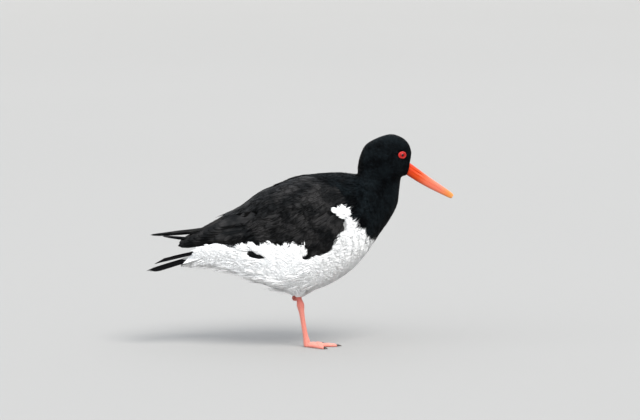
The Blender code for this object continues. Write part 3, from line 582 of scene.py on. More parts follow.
def thigh_surface(label):
    """The outside of one thigh, p from the ankle (0) to the belly (4) and q round it."""
    rows = THIGHS[label]

    def surface(p, q):
        x, y, z, fore, wide = (through(np.arange(5), rows[:, k], p) for k in range(5))
        return np.stack([x + np.cos(q) * fore, y + np.sin(q) * wide, z + 0.0 * q], -1)

    return surface


def closed_mesh(name, points, faces):
    """A mesh from points and faces, turned outward."""
    mesh = bpy.data.meshes.new(name)
    mesh.from_pydata(points, [], faces)
    work = bmesh.new()
    work.from_mesh(mesh)
    bmesh.ops.recalc_face_normals(work, faces=work.faces)
    work.to_mesh(mesh)
    work.free()
    return mesh


def grid_mesh(name, points):
    """A closed mesh from rings of points, capped at both ends."""
    rings, count = points.shape[:2]
    faces = [list(range(count))[::-1], [(rings - 1) * count + i for i in range(count)]]
    for r in range(rings - 1):
        for i in range(count):
            j = (i + 1) % count
            faces.append([r * count + i, r * count + j, (r + 1) * count + j, (r + 1) * count + i])
    return closed_mesh(name, points.reshape(-1, 3).tolist(), faces)


def add(name, mesh, *materials):
    """A smooth object from a mesh, put in the scene."""
    made = bpy.data.objects.new(name, mesh)
    bpy.context.scene.collection.objects.link(made)
    for material in materials:
        mesh.materials.append(material)
    mesh.shade_smooth()
    return made


def lattice(p, q):
    """Every pairing of the values of p and q, as two arrays."""
    return p[:, None] + np.zeros((1, len(q))), q[None, :] + np.zeros((len(p), 1))


def make_skin():
    """The body's loft drawn in by the coat, with the thighs joined to it and the markings on it."""
    p, q = lattice(np.linspace(0.0, LAST, 220), np.linspace(0.0, math.tau, 96, endpoint=False))
    place = body_point(p, q)
    _, _, up = slopes(body_point, np.clip(p, 0.05, LAST - 0.05), q, 0.03)
    place = place - up * coat_depth(p)[..., None]
    for eye in EYE_PLACES:
        near = np.exp(-(np.linalg.norm(place - eye, axis=-1) / HOLLOW_RADIUS) ** 4)
        place = place - up * (HOLLOW_DEPTH * near)[..., None]
    skin = add("skin", grid_mesh("skin", place), WHITE, BLACK)
    tools = bpy.data.collections.new("thigh_cores")
    for label in THIGHS:
        surface = thigh_surface(label)
        rows, turn = lattice(np.linspace(0.0, 4.0, 18), np.linspace(0.0, math.tau, 28, endpoint=False))
        centre = surface(rows, turn).mean(axis=1, keepdims=True)
        core = np.clip(0.55 + 0.08 * rows[..., None], 0.0, 0.9)
        points = centre + (surface(rows, turn) - centre) * core
        thigh = bpy.data.objects.new("thigh", grid_mesh("thigh", points))
        tools.objects.link(thigh)
    step = skin.modifiers.new("thighs", "BOOLEAN")
    step.operand_type, step.collection = "COLLECTION", tools
    step.operation, step.solver = "UNION", "EXACT"
    made = bpy.data.meshes.new_from_object(skin.evaluated_get(bpy.context.evaluated_depsgraph_get()))
    skin.modifiers.clear()
    skin.data = made
    for thigh in list(tools.objects):
        bpy.data.objects.remove(thigh)
    centres = np.empty(len(made.polygons) * 3)
    made.polygons.foreach_get("center", centres)
    made.polygons.foreach_set("material_index", is_black(centres.reshape(-1, 3)).astype(np.int32))
    made.shade_smooth()
    return skin


def unwrap(p, q):
    """The place of a root on the unwrapped skin: along the bird and round it."""
    return np.stack([(q / math.tau) % 1.0, p / LAST], -1) * 0.98 + 0.01


def dress(piece, slot, *nodes):
    """Puts a piece on the bird's one body in place of some solids; slot is not used."""
    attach(piece, "root")
    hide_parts(*nodes)
    return piece


skin = dress(make_skin(), "white_plumage", "head", "neck", "torso", "thigh_right", "thigh_left", "tail")
print("skin faces", len(skin.data.polygons))

# %% [markdown]
# ## The coat
# A contour feather is not a flat leaf: past its downy base the barbs part into soft locks. So
# each body feather is built as a small fan of locks that share a root. The roots are spread with
# a low-discrepancy sequence, which gives the even, never regular spacing of real feather tracts.
# The feathers are small on the face, longer towards the belly, and lie back from the bill to the
# tail.

# %% Spreading roots
rng = np.random.default_rng(7)
GOLDEN = (0.7548776662466927, 0.5698402909980532)


def scatter(surface, p_range, q_range, per_area, step_p, cells=(360, 160)):
    """Roots over a surface; per_area is how many stand on a square metre, a number or a rule."""
    p_edge = np.linspace(*p_range, cells[0] + 1)
    q_edge = np.linspace(*q_range, cells[1] + 1)
    p, q = lattice((p_edge[1:] + p_edge[:-1]) / 2, (q_edge[1:] + q_edge[:-1]) / 2)
    along, about, _ = slopes(surface, p, q, step_p)
    stretch = np.linalg.norm(np.cross(along, about), axis=-1)
    area = stretch * (p_edge[1] - p_edge[0]) * (q_edge[1] - q_edge[0])
    share = area * (per_area(p, q, surface(p, q)) if callable(per_area) else per_area)
    count = int(share.sum())
    k = np.arange(count)
    u, v = (0.5 + k * GOLDEN[0]) % 1.0, (0.5 + k * GOLDEN[1]) % 1.0
    rows = np.concatenate([[0.0], np.cumsum(share.sum(axis=1))]) / share.sum()
    root_p = np.interp(u, rows, p_edge)
    row = np.clip(np.searchsorted(p_edge, root_p, side="right") - 1, 0, cells[0] - 1)
    ladder = np.cumsum(share, axis=1) / np.maximum(share.sum(axis=1, keepdims=True), 1e-12)
    flat = (ladder + np.arange(cells[0])[:, None]).ravel()
    at = np.clip(np.searchsorted(flat, v + row), 0, flat.size - 1)
    cell = np.clip(at - row * cells[1], 0, cells[1] - 1)
    below = np.where(cell > 0, ladder[row, np.maximum(cell - 1, 0)], 0.0)
    part = (v - below) / np.maximum(ladder[row, cell] - below, 1e-12)
    return root_p, q_edge[cell] + np.clip(part, 0.0, 1.0) * (q_edge[1] - q_edge[0])


print("first roots", [tuple(round((0.5 + k * g) % 1.0, 2) for g in GOLDEN) for k in range(4)])

# %% Fans of locks
LOCK_SHARES = (0.0, 0.22, 0.55, 0.84, 1.0)
LOCK_WIDTHS = np.array((0.3, 0.85, 1.0, 0.62, 0.0))
LOCK_POINTS = 14
# How much of its share of a feather's width a lock takes
BLACK_FILL, WHITE_FILL = 0.80, 1.05


def fans(surface, p, q, turn, length, width, locks, depth, rise, shade, step_p,
         spread=0.30, mapping=unwrap, fill=BLACK_FILL):
    """Feathers as fans of locks.

    depth is how deep a root is sunk, rise how high a tip stands and spread how far the fan opens.
    Values are numbers or arrays with one entry for each feather.
    """
    sets, n = [], len(p)
    width, depth, rise = (np.broadcast_to(value, n) for value in (width, depth, rise))
    for j in range(locks):
        c = (j + 0.5) / locks * 2.0 - 1.0
        _, about, _ = slopes(surface, p, q, step_p)
        lean = c + rng.uniform(-0.12, 0.12, n)
        root_q = q + lean * width * 0.24 / np.maximum(np.linalg.norm(about, axis=-1), 0.002)
        long = length * (1.0 - 0.22 * c * c) * rng.uniform(0.88, 1.10, n)
        off = turn + lean * spread * width / length * 2.2
        path, up, way = walk(surface, p, root_q, off, long, LOCK_SHARES, step_p)
        t = np.array(LOCK_SHARES)
        high = rise * rng.uniform(0.55, 1.25, n)
        lift = -depth[:, None] * (1.0 - t) ** 1.6 + high[:, None] * t**1.3
        path = path + up * lift[..., None]
        half = (width / locks * fill)[:, None] * LOCK_WIDTHS
        thick = half * 0.11
        tone = np.clip(shade + rng.uniform(-0.15, 0.15, n), 0.0, 1.0)
        sets.append(blades(path, up, way, half, thick, LOCK, LOCK_SHARES, mapping(p, q), tone))
    return join_blades(sets)


def midlines(data):
    """Thirteen places along the middle of each lock."""
    points = data["points"].reshape(-1, LOCK_POINTS, 3)
    rings = [points[:, 1 + 4 * r:5 + 4 * r].mean(axis=1) for r in range(3)]
    line = np.stack([points[:, 0], *rings, points[:, -1]], axis=1)
    at = np.linspace(0.0, 4.0, 13)
    low = np.minimum(at.astype(int), 3)
    return line[:, low] + (line[:, low + 1] - line[:, low]) * (at - low)[None, :, None]


def pick(data, keep):
    """Only the locks of a set whose flag is true."""
    points = np.repeat(keep, LOCK_POINTS)
    new = np.cumsum(points) - 1
    faces = data["faces"]
    kept = points[faces[:, 0]]
    chosen = {k: data[k][points] for k in MAPS}
    chosen["faces"] = new[faces[kept]]
    return chosen


print("a lock has", LOCK_POINTS, "points at", len(LOCK_SHARES), "places along its shaft")

# %% Roots of the body feathers
# Sections at which the feathers' length and width are given in millimetres
SIZE_AT = (0, 3, 6, 11, 13, 15, 17, 19, 20.5, LAST)
# How near the middle of an eye no feather may start, and no lock may pass
EYE_BARE, EYE_CLEAR = 0.0064, 0.0061


def feather_length(p):
    """The length of body feathers."""
    return np.interp(p, SIZE_AT, (18, 19, 20, 19, 15, 10, 7.5, 5.5, 4.2, 3.2)) / 1000


def feather_width_at(p):
    """The width of body feathers."""
    return np.interp(p, SIZE_AT, (5, 6, 6.5, 6, 5, 3.6, 2.8, 2.2, 1.7, 1.3)) / 1000


def crowding(p, q, place):
    """Feathers on a square metre, fewer where the folded wing hides the body."""
    x, z, out = place[..., 0], place[..., 2], np.abs(np.sin(q))
    under_wing = (z > 0.150) & (out > 0.55) & (x < 0.030)
    under_wing |= (z > 0.128) & (out > 0.80) & (np.abs(x + 0.04) < 0.055)
    dense = 1.0 / (0.30 * feather_length(p) * 0.62 * feather_width_at(p))
    near_eye = np.zeros_like(dense)
    for eye in EYE_PLACES:
        near_eye += np.linalg.norm((place - eye) * np.array((1.0, 1.0, 1.16)), axis=-1) < EYE_BARE
    return dense * np.where(under_wing, 0.06, 1.0) * np.where(near_eye > 0, 0.0, 1.0)


root_p, root_q = scatter(body_point, (0.15, LAST - 0.35), (0.0, math.tau), crowding, 0.03)
root_place = body_point(root_p, root_q)
straight, long = 0.0 * root_p, feather_length(root_p)
reach = walk(body_point, root_p, root_q, straight, long, (0.0, 0.4, 0.8), 0.03)[0][:, -1]
root_black = is_black(reach + rng.normal(0.0, 0.0012, reach.shape)) & (root_place[:, 0] > -0.062)
print("body feathers", len(root_p))

# %% Lay the body's feathers piece by piece
# The share of loose feathers on the belly, and the locks of a feather where they aren't five
LOOSE = 0.16
LOCKS = {"coat_face": 3, "coat_breast": 7, "coat_belly": 8, "coat_vent": 7}
REGIONS = {
    "coat_face": root_black & (root_p > 17.0),
    "coat_nape": root_black & (root_p > 14.2) & (root_p <= 17.0),
    "coat_bib": root_black & (root_p <= 14.2) & (root_place[:, 0] > 0.045),
    "coat_mantle": root_black & (root_p <= 14.2) & (root_place[:, 0] <= 0.045),
    "coat_breast": ~root_black & (root_p > 8.5),
    "coat_belly": ~root_black & (root_p > 5.5) & (root_p <= 8.5),
    "coat_vent": ~root_black & (root_p <= 5.5),
}


def lay_region(name, keep):
    """The feathers of one region as one piece."""
    p, q, black = root_p[keep], root_q[keep], bool(root_black[keep].any())
    n = len(p)
    length = feather_length(p) * rng.uniform(0.88, 1.12, n)
    width = feather_width_at(p)
    turn = rng.normal(0.0, 0.07, n)
    depth = coat_depth(p)
    rise = np.interp(p, (0, 6, 12, 16, LAST), (0.4, 0.6, 0.5, 0.3, 0.2)) / 1000
    if name in ("coat_belly", "coat_vent"):
        loose = rng.uniform(0.0, 1.0, n) > 1.0 - LOOSE
        below = (np.cos(q) < -0.6) * np.interp(p, (2.0, 3.5, 7.5, 9.0), (0.3, 1.0, 1.0, 0.3))
        rise = rise + loose * rng.uniform(0.0006, 0.0022, n) * (1.0 + 1.6 * below)
        length = length * (1.0 + 0.25 * loose * (1.0 + below))
        turn = turn + loose * rng.normal(0.0, 0.12, n)
    shade = np.clip(rng.normal(0.45 if black else 0.75, 0.18, n), 0.0, 1.0)
    # White feathers that start among the black ones lie under them
    under = is_black(root_place[keep]) & (not black)
    depth = depth + 0.0012 * under
    rise = rise - 0.0008 * under
    data = fans(body_point, p, q, turn, length, width, LOCKS.get(name, 5), depth, rise, shade, 0.03,
                fill=BLACK_FILL if black else WHITE_FILL)
    if name == "coat_face":
        line = midlines(data)
        near = [(np.linalg.norm(line - eye, axis=-1) < EYE_CLEAR).any(axis=1) for eye in EYE_PLACES]
        data = pick(data, ~(near[0] | near[1]))
    if not black:
        x, y, z = np.moveaxis(midlines(data)[:, 6:], -1, 0)
        data = pick(data, ~(shows_wing(x, z) & (z > 0.118) & (np.abs(y) > 0.030)).any(axis=1))
    made = mesh_object(name, data, BLACK if black else WHITE)
    dress(made, "black_plumage" if black else "white_plumage",
          "head" if name == "coat_face" else "torso")
    print(name, n, "feathers", len(data["faces"]), "triangles")


for name, keep in REGIONS.items():
    lay_region(name, keep)

# %% [markdown]
# ## Coverts over the tail
# Long soft coverts run from the rump over the base of the tail and close the wedge below the wing
# tips.

# %% Rump
p, q = scatter(body_point, (1.0, 4.8), (-1.35, 1.35), per_area=26000.0, step_p=0.03, cells=(120, 80))
n = len(p)
data = fans(body_point, p, q, turn=rng.normal(0.0, 0.10, n), length=rng.uniform(0.020, 0.027, n),
            width=0.0075, locks=6, depth=0.0020, rise=rng.uniform(0.0012, 0.0040, n),
            shade=np.clip(rng.normal(0.75, 0.15, n), 0, 1), step_p=0.03)
dress(mesh_object("coat_rump", data, WHITE), "white_plumage", "tail")
print("rump", n, "feathers", len(data["faces"]), "triangles")

# %% [markdown]
# ## Feathers of the thighs
# Short soft feathers run down the thigh like a sleeve and stop just above the ankle.

# %% Thigh feathers
for label in THIGHS:
    surface = thigh_surface(label)
    p, q = scatter(surface, (1.35, 3.9), (0.0, math.tau), per_area=90000.0, step_p=0.02,
                   cells=(60, 60))
    n = len(p)
    length = np.interp(p, (1.35, 2.2, 4.0), (5.5, 9.0, 15.0)) / 1000
    data = fans(surface, p, q, turn=rng.normal(0.0, 0.10, n), length=length, width=length * 0.30,
                locks=4, depth=0.0012, rise=0.0004, shade=np.clip(rng.normal(0.7, 0.2, n), 0, 1),
                step_p=0.02)
    sleeve = dress(mesh_object(f"thigh_coat_{label}", data, WHITE), "white_plumage", f"thigh_{label}")
    print(sleeve.name, n, "feathers")

# %% [markdown]
# ## The folded wings
# A folded wing is layers of roof tiles: small lesser coverts near the wrist, longer median and
# greater coverts behind them, soft scapulars over the shoulder, and the long tertials and
# primaries that stick out behind. Each tile is a broad vane for substance, with a fan of locks on
# it for its soft edge.

# %% Vanes and the wing's core
# The wing's lower edge in the side view, smoothed
EDGE_X = np.array((-0.140, -0.11, -0.08, -0.03, 0.0, 0.012, 0.03, 0.05))
EDGE_Z = np.array((0.134, 0.138, 0.143, 0.145, 0.135, 0.131, 0.145, 0.170))
VANE_SHARES = (0.0, 0.10, 0.30, 0.52, 0.72, 0.88, 0.97, 1.0)
VANE_WIDTHS = np.array((0.25, 0.60, 0.92, 1.0, 0.96, 0.74, 0.36, 0.0))


def wing_q(x, z):
    """The angle round the wings' outline at a place of the side view."""
    top, bottom, widest = (through(WING_OUTLINE[:, 0], WING_OUTLINE[:, k], x) for k in (1, 2, 4))
    down = np.clip((top - z) / (top - bottom), 0.004, 0.996)
    upper = np.clip(1.0 - down / widest, 0.0, 1.0) ** (1.0 / FULLNESS)
    lower = np.clip((down - widest) / (1.0 - widest), 0.0, 1.0) ** (1.0 / FULLNESS)
    return np.arccos(np.clip(np.where(down < widest, upper, -lower), -0.995, 0.995))


def wing_map(p, q):
    """The place of a root on the unwrapped wing."""
    return np.stack([(q / math.tau) % 1.0, np.clip((p + 0.21) / 0.28, 0.0, 1.0)], -1) * 0.98 + 0.01


def vanes(x, q, turn, length, width, depth, rise, shade):
    """Broad single vanes on the wing, sunk at the root and raised at the tip."""
    path, up, way = walk(wing_point, x, q, turn, length, VANE_SHARES, 0.001)
    t = np.array(VANE_SHARES)
    path = path + up * (-depth[:, None] * (1.0 - t) ** 1.5 + rise[:, None] * t**1.2)[..., None]
    half = width[:, None] / 2 * VANE_WIDTHS
    thick = np.full_like(half, 0.00016)
    return blades(path, up, way, half, thick, VANE, VANE_SHARES, wing_map(x, q), shade)


def covert_rows():
    """Rows of coverts from the wrist to the rear: x, angle, turn, length and width of each feather."""
    found = []
    x_row, odd = 0.0475, 0
    while x_row > -0.110:
        length = np.interp(x_row, (-0.10, -0.05, 0.0, 0.045), (0.040, 0.036, 0.030, 0.020))
        width = length * np.interp(x_row, (-0.10, 0.045), (0.40, 0.50))
        gap = width * 0.52 / 0.058
        for q in np.arange(0.55 + (odd % 2) * gap / 2, 2.15, gap):
            x = x_row + 0.024 * (q - 1.2) + rng.normal(0.0, 0.0010)
            angle = np.interp(x, (-0.10, -0.04, 0.045), (0.22, 0.40, 0.66)) + rng.normal(0.0, 0.11)
            found.append((x, q + rng.normal(0.0, 0.014), angle, length * rng.uniform(0.82, 1.15),
                          width * rng.uniform(0.85, 1.1)))
        x_row -= length * 0.21
        odd += 1
    found = np.array(found)
    z = wing_point(found[:, 0], found[:, 1])[:, 2]
    keep = (z > 0.122 + 0.10 * np.maximum(0.0, found[:, 0] - 0.012)) & (found[:, 0] < 0.050)
    keep &= (found[:, 0] < 0.030) | (z < 0.180) | (z > 0.196)
    keep &= (found[:, 0] > -0.070) | (z < 0.152)
    tip = walk(wing_point, *found[:, :4].T, (0.0, 0.5, 1.0), 0.001)[0][:, -1]
    margin = np.interp(tip[:, 0], (-0.115, -0.085), (0.0045, -0.0045))
    keep &= tip[:, 2] > np.interp(tip[:, 0], EDGE_X, EDGE_Z) + margin
    return found[keep]


def wing_core(side):
    """The dark plate under the coverts, so that no light passes between them."""
    u, v = lattice(np.linspace(0.0, 1.0, 60), np.linspace(0.0, 1.0, 40))
    x = 0.046 - 0.150 * u - 0.012 * v**2 * (1.0 - u)
    low = np.interp(x, (-0.102, -0.08, -0.06, -0.03, 0.012, 0.028, 0.04, 0.05),
                    (0.146, 0.140, 0.134, 0.130, 0.134, 0.144, 0.158, 0.172))
    q = 0.42 + (wing_q(x, low) - 0.42) * v
    _, _, up = slopes(wing_point, x, q, 0.001)
    rim = np.minimum(1.0, 5.0 * np.minimum(np.minimum(u, 1 - u), np.minimum(v, 1 - v)))
    deep = 0.0036 * np.clip((-0.040 - x) / 0.025, 0.0, 1.0)
    outer = wing_point(x, q) - up * (0.0016 + deep + 0.003 * (1.0 - np.sin(np.pi / 2 * rim)))[..., None]
    inner = wing_point(x, q) - up * 0.0095
    ring = np.concatenate([outer, inner[:, ::-1]], axis=1)
    ring[..., 1] *= side
    return grid_mesh("wing_core", ring)


print("points of a vane", 2 + len(VANE) * (len(VANE_SHARES) - 2))

# %% Coverts
WINGS = {"right": -1.0, "left": 1.0}
# Lines of painted shadow on the wings: where the scapulars part along the back, and where their tips
# shade the coverts: x and z
CREASE_SHADOW = np.array([(-0.068, 0.1970), (-0.057, 0.2040), (-0.034, 0.2125), (-0.018, 0.2175),
                   (-0.003, 0.2190), (0.015, 0.2180)])
BAND_SHADOW = np.array([(-0.046, 0.1870), (-0.036, 0.1830), (-0.016, 0.1840), (0.010, 0.1830),
                 (0.020, 0.1880)])


def stripe(line, x, z, width):
    """A soft stripe along a line of the side view."""
    off = np.abs(z - np.interp(x, line[:, 0], line[:, 1]))
    return np.exp(-(off / width) ** 2)


def spot(x, z, middle, size):
    """A soft spot in the side view; middle and size are pairs for x and z."""
    return np.exp(-((x - middle[0]) / size[0]) ** 2 - ((z - middle[1]) / size[1]) ** 2)


def wing_tone(x, z):
    """How much darker or paler a wing feather is by its place: painted shadow along the scapulars'
    parting and under their tips, painted shade low on the front of the wing, paler spots of worn
    plumage on the scapulars and of painted light on the lower coverts, and darker towards the rear.
    """
    # Painted shadow: a dark line where the scapulars part, and a dark band where their tips shade the
    # coverts
    crease_shadow = stripe(CREASE_SHADOW, x, z, 0.0022) * (x > CREASE_SHADOW[0, 0]) * (x < CREASE_SHADOW[-1, 0])
    band_shadow = stripe(BAND_SHADOW, x, z, 0.0060) * np.clip((x + 0.060) / 0.02, 0.0, 1.0)
    band_shadow = band_shadow * np.clip((0.034 - x) / 0.02, 0.0, 1.0)
    # Paler spots of worn plumage on the upper scapulars and of painted light on the lower coverts, then
    # a spot of painted shade low on the front of the wing
    tint_weight = spot(x, z, (-0.012, 0.203), (0.030, 0.011)) + spot(x, z, (-0.005, 0.166), (0.045, 0.013))
    shaded = spot(x, z, (0.022, 0.142), (0.016, 0.014))
    rear = np.clip((-0.060 - x) / 0.03, 0.0, 1.0)
    return 0.34 * tint_weight - 0.40 * shaded - 0.9 * crease_shadow - 0.5 * band_shadow - 0.10 - 0.55 * rear


def lay_feathers(name, label, feathers, locks, depth, rise, shade):
    """Vanes with fans of locks over them, joined into one piece of one wing."""
    x, q, turn, length, width = feathers.T
    n = len(x)
    q, turn = q * WINGS[label], turn * WINGS[label]
    tucked = 0.0030 * np.clip((x - 0.022) / 0.026, 0.0, 1.0) * (np.abs(q) < 1.1)
    depth, high = np.full(n, depth) + tucked, rise * rng.uniform(0.7, 1.2, n) - tucked
    tip = walk(wing_point, x, q, turn, length, (0.0, 0.7), 0.001)[0][:, -1]
    tone = np.clip(rng.normal(shade, 0.16, n) + wing_tone(tip[:, 0], tip[:, 2]), 0.0, 1.0)
    solid = vanes(x, q, turn, length * 0.86, width, depth, high - 0.0002, tone)
    soft = fans(wing_point, x, q, turn, length, width * 0.98, locks, depth - 0.0003, high + 0.0003,
                tone, 0.001, spread=0.22, mapping=wing_map)
    made = mesh_object(f"{name}_{label}", join_blades([solid, soft]), WING)
    dress(made, "wing_plumage", f"wing_{label}")
    print(made.name, n, "feathers", len(made.data.polygons), "triangles")


for label, side in WINGS.items():
    dress(add(f"wing_core_{label}", wing_core(side), WING), "wing_plumage", f"wing_{label}")
    lay_feathers("coverts", label, covert_rows(), locks=9, depth=0.0016, rise=0.0006, shade=0.45)

# %% [markdown]
# ## Scapulars and flight feathers
# The scapulars hang from the shoulder over the upper wing. Behind them the tertials make the dark
# lobe that covers the wing's rear, and the narrow primaries show as dark spikes over the tail.

# %% Scapulars
for label in WINGS:
    found = []
    for row, x_row in enumerate(np.arange(0.050, -0.076, -0.0075)):
        for q in np.arange(0.20 + 0.06 * (row % 2), 1.02 if x_row > -0.020 else 1.34, 0.115):
            usual = np.interp(x_row, (-0.070, -0.034, 0.044), (0.048, 0.042, 0.024))
            length = usual * rng.uniform(0.85, 1.12)
            x = x_row + 0.012 * (q - 0.6) + rng.normal(0.0, 0.0015)
            turn = np.interp(q, (0.1, 1.0), (0.03, 0.36)) + rng.normal(0, 0.08)
            found.append((x, q + rng.normal(0, 0.014), turn, length, length * 0.36))
    lay_feathers("scapulars", label, np.array(found), locks=9, depth=0.0012, rise=0.0012, shade=0.40)

# %% Flight feathers of the wing
FLIGHT_SHARES = (0.0, 0.06, 0.18, 0.34, 0.50, 0.66, 0.80, 0.90, 0.965, 1.0)
FLIGHT_THICK = 0.00022
FLIGHT_WIDTHS = np.array((0.45, 0.66, 0.86, 0.96, 1.0, 0.98, 0.90, 0.72, 0.42, 0.0))
FLIGHT = (
    (-1.0, 0.0), (-0.55, 0.7), (-0.07, 1.0), (0.0, 2.2), (0.07, 1.0), (0.55, 0.7), (1.0, 0.0),
    (0.0, -1.0),
)
# count, roots and tips (x, z) of the lowest and the highest feather, width, lift at root and tip
TERTIALS = (9, (-0.050, 0.160), (-0.050, 0.176), (-0.1670, 0.1345), (-0.114, 0.1600),
            0.0170, -0.0028, 0.0012)
SECONDARIES = (5, (-0.030, 0.148), (-0.064, 0.157), (-0.080, 0.1415), (-0.134, 0.1450),
               0.0165, -0.0012, 0.0002)
NEAR_PRIMARIES = (3, (-0.095, 0.1385), (-0.095, 0.1400), (-0.1885, 0.1474), (-0.170, 0.1462),
                  0.0044, -0.0040, -0.0028)
FAR_PRIMARIES = (4, (-0.095, 0.1545), (-0.092, 0.1585), (-0.2045, 0.1478), (-0.182, 0.1503),
                 0.0060, -0.0040, -0.0028)


def side_path(roots, tips, shares, lift, side, bow=0.0):
    """Shafts over the wing's outline, straight in the side view apart from a little bow."""
    t = np.array(shares)
    line = roots[:, None, :] + (tips - roots)[:, None, :] * t[None, :, None]
    x, z = line[..., 0], line[..., 1] + bow * np.sin(np.pi * t)
    q = wing_q(x, z)
    _, _, up = slopes(wing_point, x, q, 0.001)
    place = wing_point(x, q)
    place[..., 2] = z
    place = place + up * lift[..., None]
    turn = np.array((1.0, side, 1.0))
    place, up = place * turn, up * turn
    return place, up, unit(np.gradient(place, axis=1)), q


def flight_tract(name, label, tract, shade, bow=0.0):
    """One row of flight feathers of one wing."""
    side = WINGS[label]
    count, low_root, high_root, low_tip, high_tip, width, sunk, raised = tract
    t = np.linspace(0.0, 1.0, count)[:, None]
    roots = np.array(low_root) * (1 - t) + np.array(high_root) * t
    tips = np.array(low_tip) * (1 - t) + np.array(high_tip) * t
    shares = np.array(FLIGHT_SHARES)
    lift = sunk + (raised - sunk) * shares[None, :] + 0.00035 * np.arange(count)[:, None]
    path, up, way, q = side_path(roots, tips, FLIGHT_SHARES, lift, side, bow)
    roll = 0.12 * side
    up = unit(up + np.cross(way, up) * roll)
    half = np.full((count, 1), width / 2) * FLIGHT_WIDTHS
    thick = np.full_like(half, FLIGHT_THICK)
    tone = np.clip(rng.normal(shade, 0.1, count), 0, 1)
    data = blades(path, up, way, half, thick, FLIGHT, FLIGHT_SHARES,
                  wing_map(roots[:, 0], q[:, 0]), tone)
    dress(mesh_object(f"{name}_{label}", data, WING), "wing_plumage", f"wing_{label}")
    print(name, label, count, "feathers")


for label, side in WINGS.items():
    flight_tract("tertials", label, TERTIALS, shade=0.40, bow=0.003)
    flight_tract("secondaries", label, SECONDARIES, shade=0.3)
    flight_tract("primaries", label, FAR_PRIMARIES if side > 0 else NEAR_PRIMARIES, shade=0.15)

# %% [markdown]
# ## White feathers over the wing
# The breast and flank feathers are loose and lie over the edge of the folded wing. Wind has
# ruffled them, so their tips stand up along the edge, and leave a dark mark and a notch where the
# wing shows. They are laid on a surface just outside the wing, and a lock that would hide more
# than a little of the dark places is left out.

# %% Flank feathers
# Dark feathers under the notch: first x, step in x, first z, step in z, turn, length, width, count
GAP_ROWS = (
    (0.034, 0.009, 0.1395, 0.0040, 0.46, 0.017, 0.008, 5),
    (0.036, 0.008, 0.1460, 0.0036, 0.42, 0.020, 0.011, 6),
    (0.024, 0.008, 0.1340, 0.0030, 0.40, 0.015, 0.008, 3),
)


def flank_turn(x, z):
    """How far the ruffled feathers turn up from straight back, most along the wing's lower edge."""
    edge = np.interp(x, EDGE_X, EDGE_Z)
    near = np.clip(1.0 - (edge - z) / 0.024, 0.0, 1.0)
    lifted = np.interp(x, (-0.14, -0.10, -0.08, -0.03, -0.008, 0.006, 0.02, 0.06),
                       (0.05, 0.2, 0.9, 1.1, 1.5, 1.2, 0.6, 0.3))
    return 0.10 + lifted * near, near


def tip_zone(p, q, place):
    """Tips on a square metre: over the white places of the side view, out to the base of the tail."""
    x, z = place[..., 0], place[..., 2]
    seen = ~shows_wing(x, z) & ~is_black(place + np.array((0.003, 0.0, 0.0)))
    low = np.interp(x, (-0.152, -0.140, 0.02, 0.056), (0.117, 0.103, 0.100, 0.118))
    return np.where((z > low) & (z < 0.194) & seen & ((x > -0.147) | (z < 0.1295)), 110000.0, 0.0)


for label, side in WINGS.items():
    tip_x, tip_q = scatter(flank_point, (-0.151, 0.0550), (0.8, 2.6), tip_zone, 0.001, (240, 140))
    n = len(tip_x)
    up_turn, near = flank_turn(tip_x, flank_point(tip_x, tip_q)[:, 2])
    turn = -up_turn + rng.normal(0.0, 1.0, n) * (0.07 + 0.12 * near)
    length = rng.uniform(0.015, 0.022, n) - 0.004 * near
    length = np.where(tip_x > 0.030, np.minimum(length, 0.0115), length)
    x, q = tip_x.copy(), tip_q.copy()
    # Back from the tips to the roots in four steps
    for _ in range(4):
        along, about, _ = slopes(flank_point, x, q, 0.001)
        x = x + np.cos(turn) * length * 0.25 / np.linalg.norm(along, axis=-1)
        q = q - np.sin(turn) * length * 0.25 / np.linalg.norm(about, axis=-1)
    sunk = 0.0010 + 0.0032 * np.clip((x - 0.040) / 0.016, 0.0, 1.0)
    ruffled = rng.uniform(0.0, 1.0, n) ** 3 * np.interp(tip_x, (-0.12, -0.09), (0.1, 1.0))
    front = np.clip((tip_x - 0.045) / 0.010, 0.0, 1.0)
    raised = 0.0003 + (0.0003 + 0.0020 * ruffled) * (0.10 + near) - 0.0012 * front
    data = fans(flank_point, x, q * side, turn * side, length, length * 0.34, 7, sunk, raised,
                np.clip(rng.normal(0.8, 0.12, n), 0, 1), 0.001, mapping=wing_map,
                fill=WHITE_FILL)
    rings = data["points"].reshape(-1, LOCK_POINTS, 3)[:, 5:, :]
    hides = shows_wing(rings[..., 0], rings[..., 2] - 0.0008).sum(axis=1)
    mid_x, _, mid_z = np.moveaxis(midlines(data)[:, 2:], -1, 0)
    in_gap = (shows_wing(mid_x, mid_z) & (mid_z < 0.1320) & (mid_x > -0.080)).any(axis=1)
    allowed = np.where(rings[..., 0].mean(axis=1) > -0.004, 2, rng.integers(2, 6, len(hides)))
    data = pick(data, ~in_gap & (hides < allowed))
    flank = dress(mesh_object(f"flank_coat_{label}", data, WHITE), "white_plumage", "torso")
    print(flank.name, n, "feathers", len(data["faces"]), "triangles")
    # Dark wing feathers under the mark and the notch
    found = [(-0.050 - 0.001 * k, wing_q(-0.050, 0.1305 - 0.0026 * k), 0.04, 0.030, 0.009)
             for k in range(4)]
    for x, dx, z, dz, turn, length, width, count in GAP_ROWS:
        found += [(x - dx * k, wing_q(x - dx * k, z - dz * k), turn, length, width)
                  for k in range(count)]
    lay_feathers("gap_feathers", label, np.array(found), locks=7, depth=0.0016, rise=-0.0008,
                 shade=0.10)

# %% [markdown]
# ## The tail
# Twelve stiff feathers, slightly fanned, white at the base with a broad black end. Wide
# overlapping vanes keep the tail thin from the side, and the two halves are tilted a little, as
# in the photograph.

# %% Tail material
# The base is white where x - 1.1 z + this is above nought
BLACK_END = 0.2810


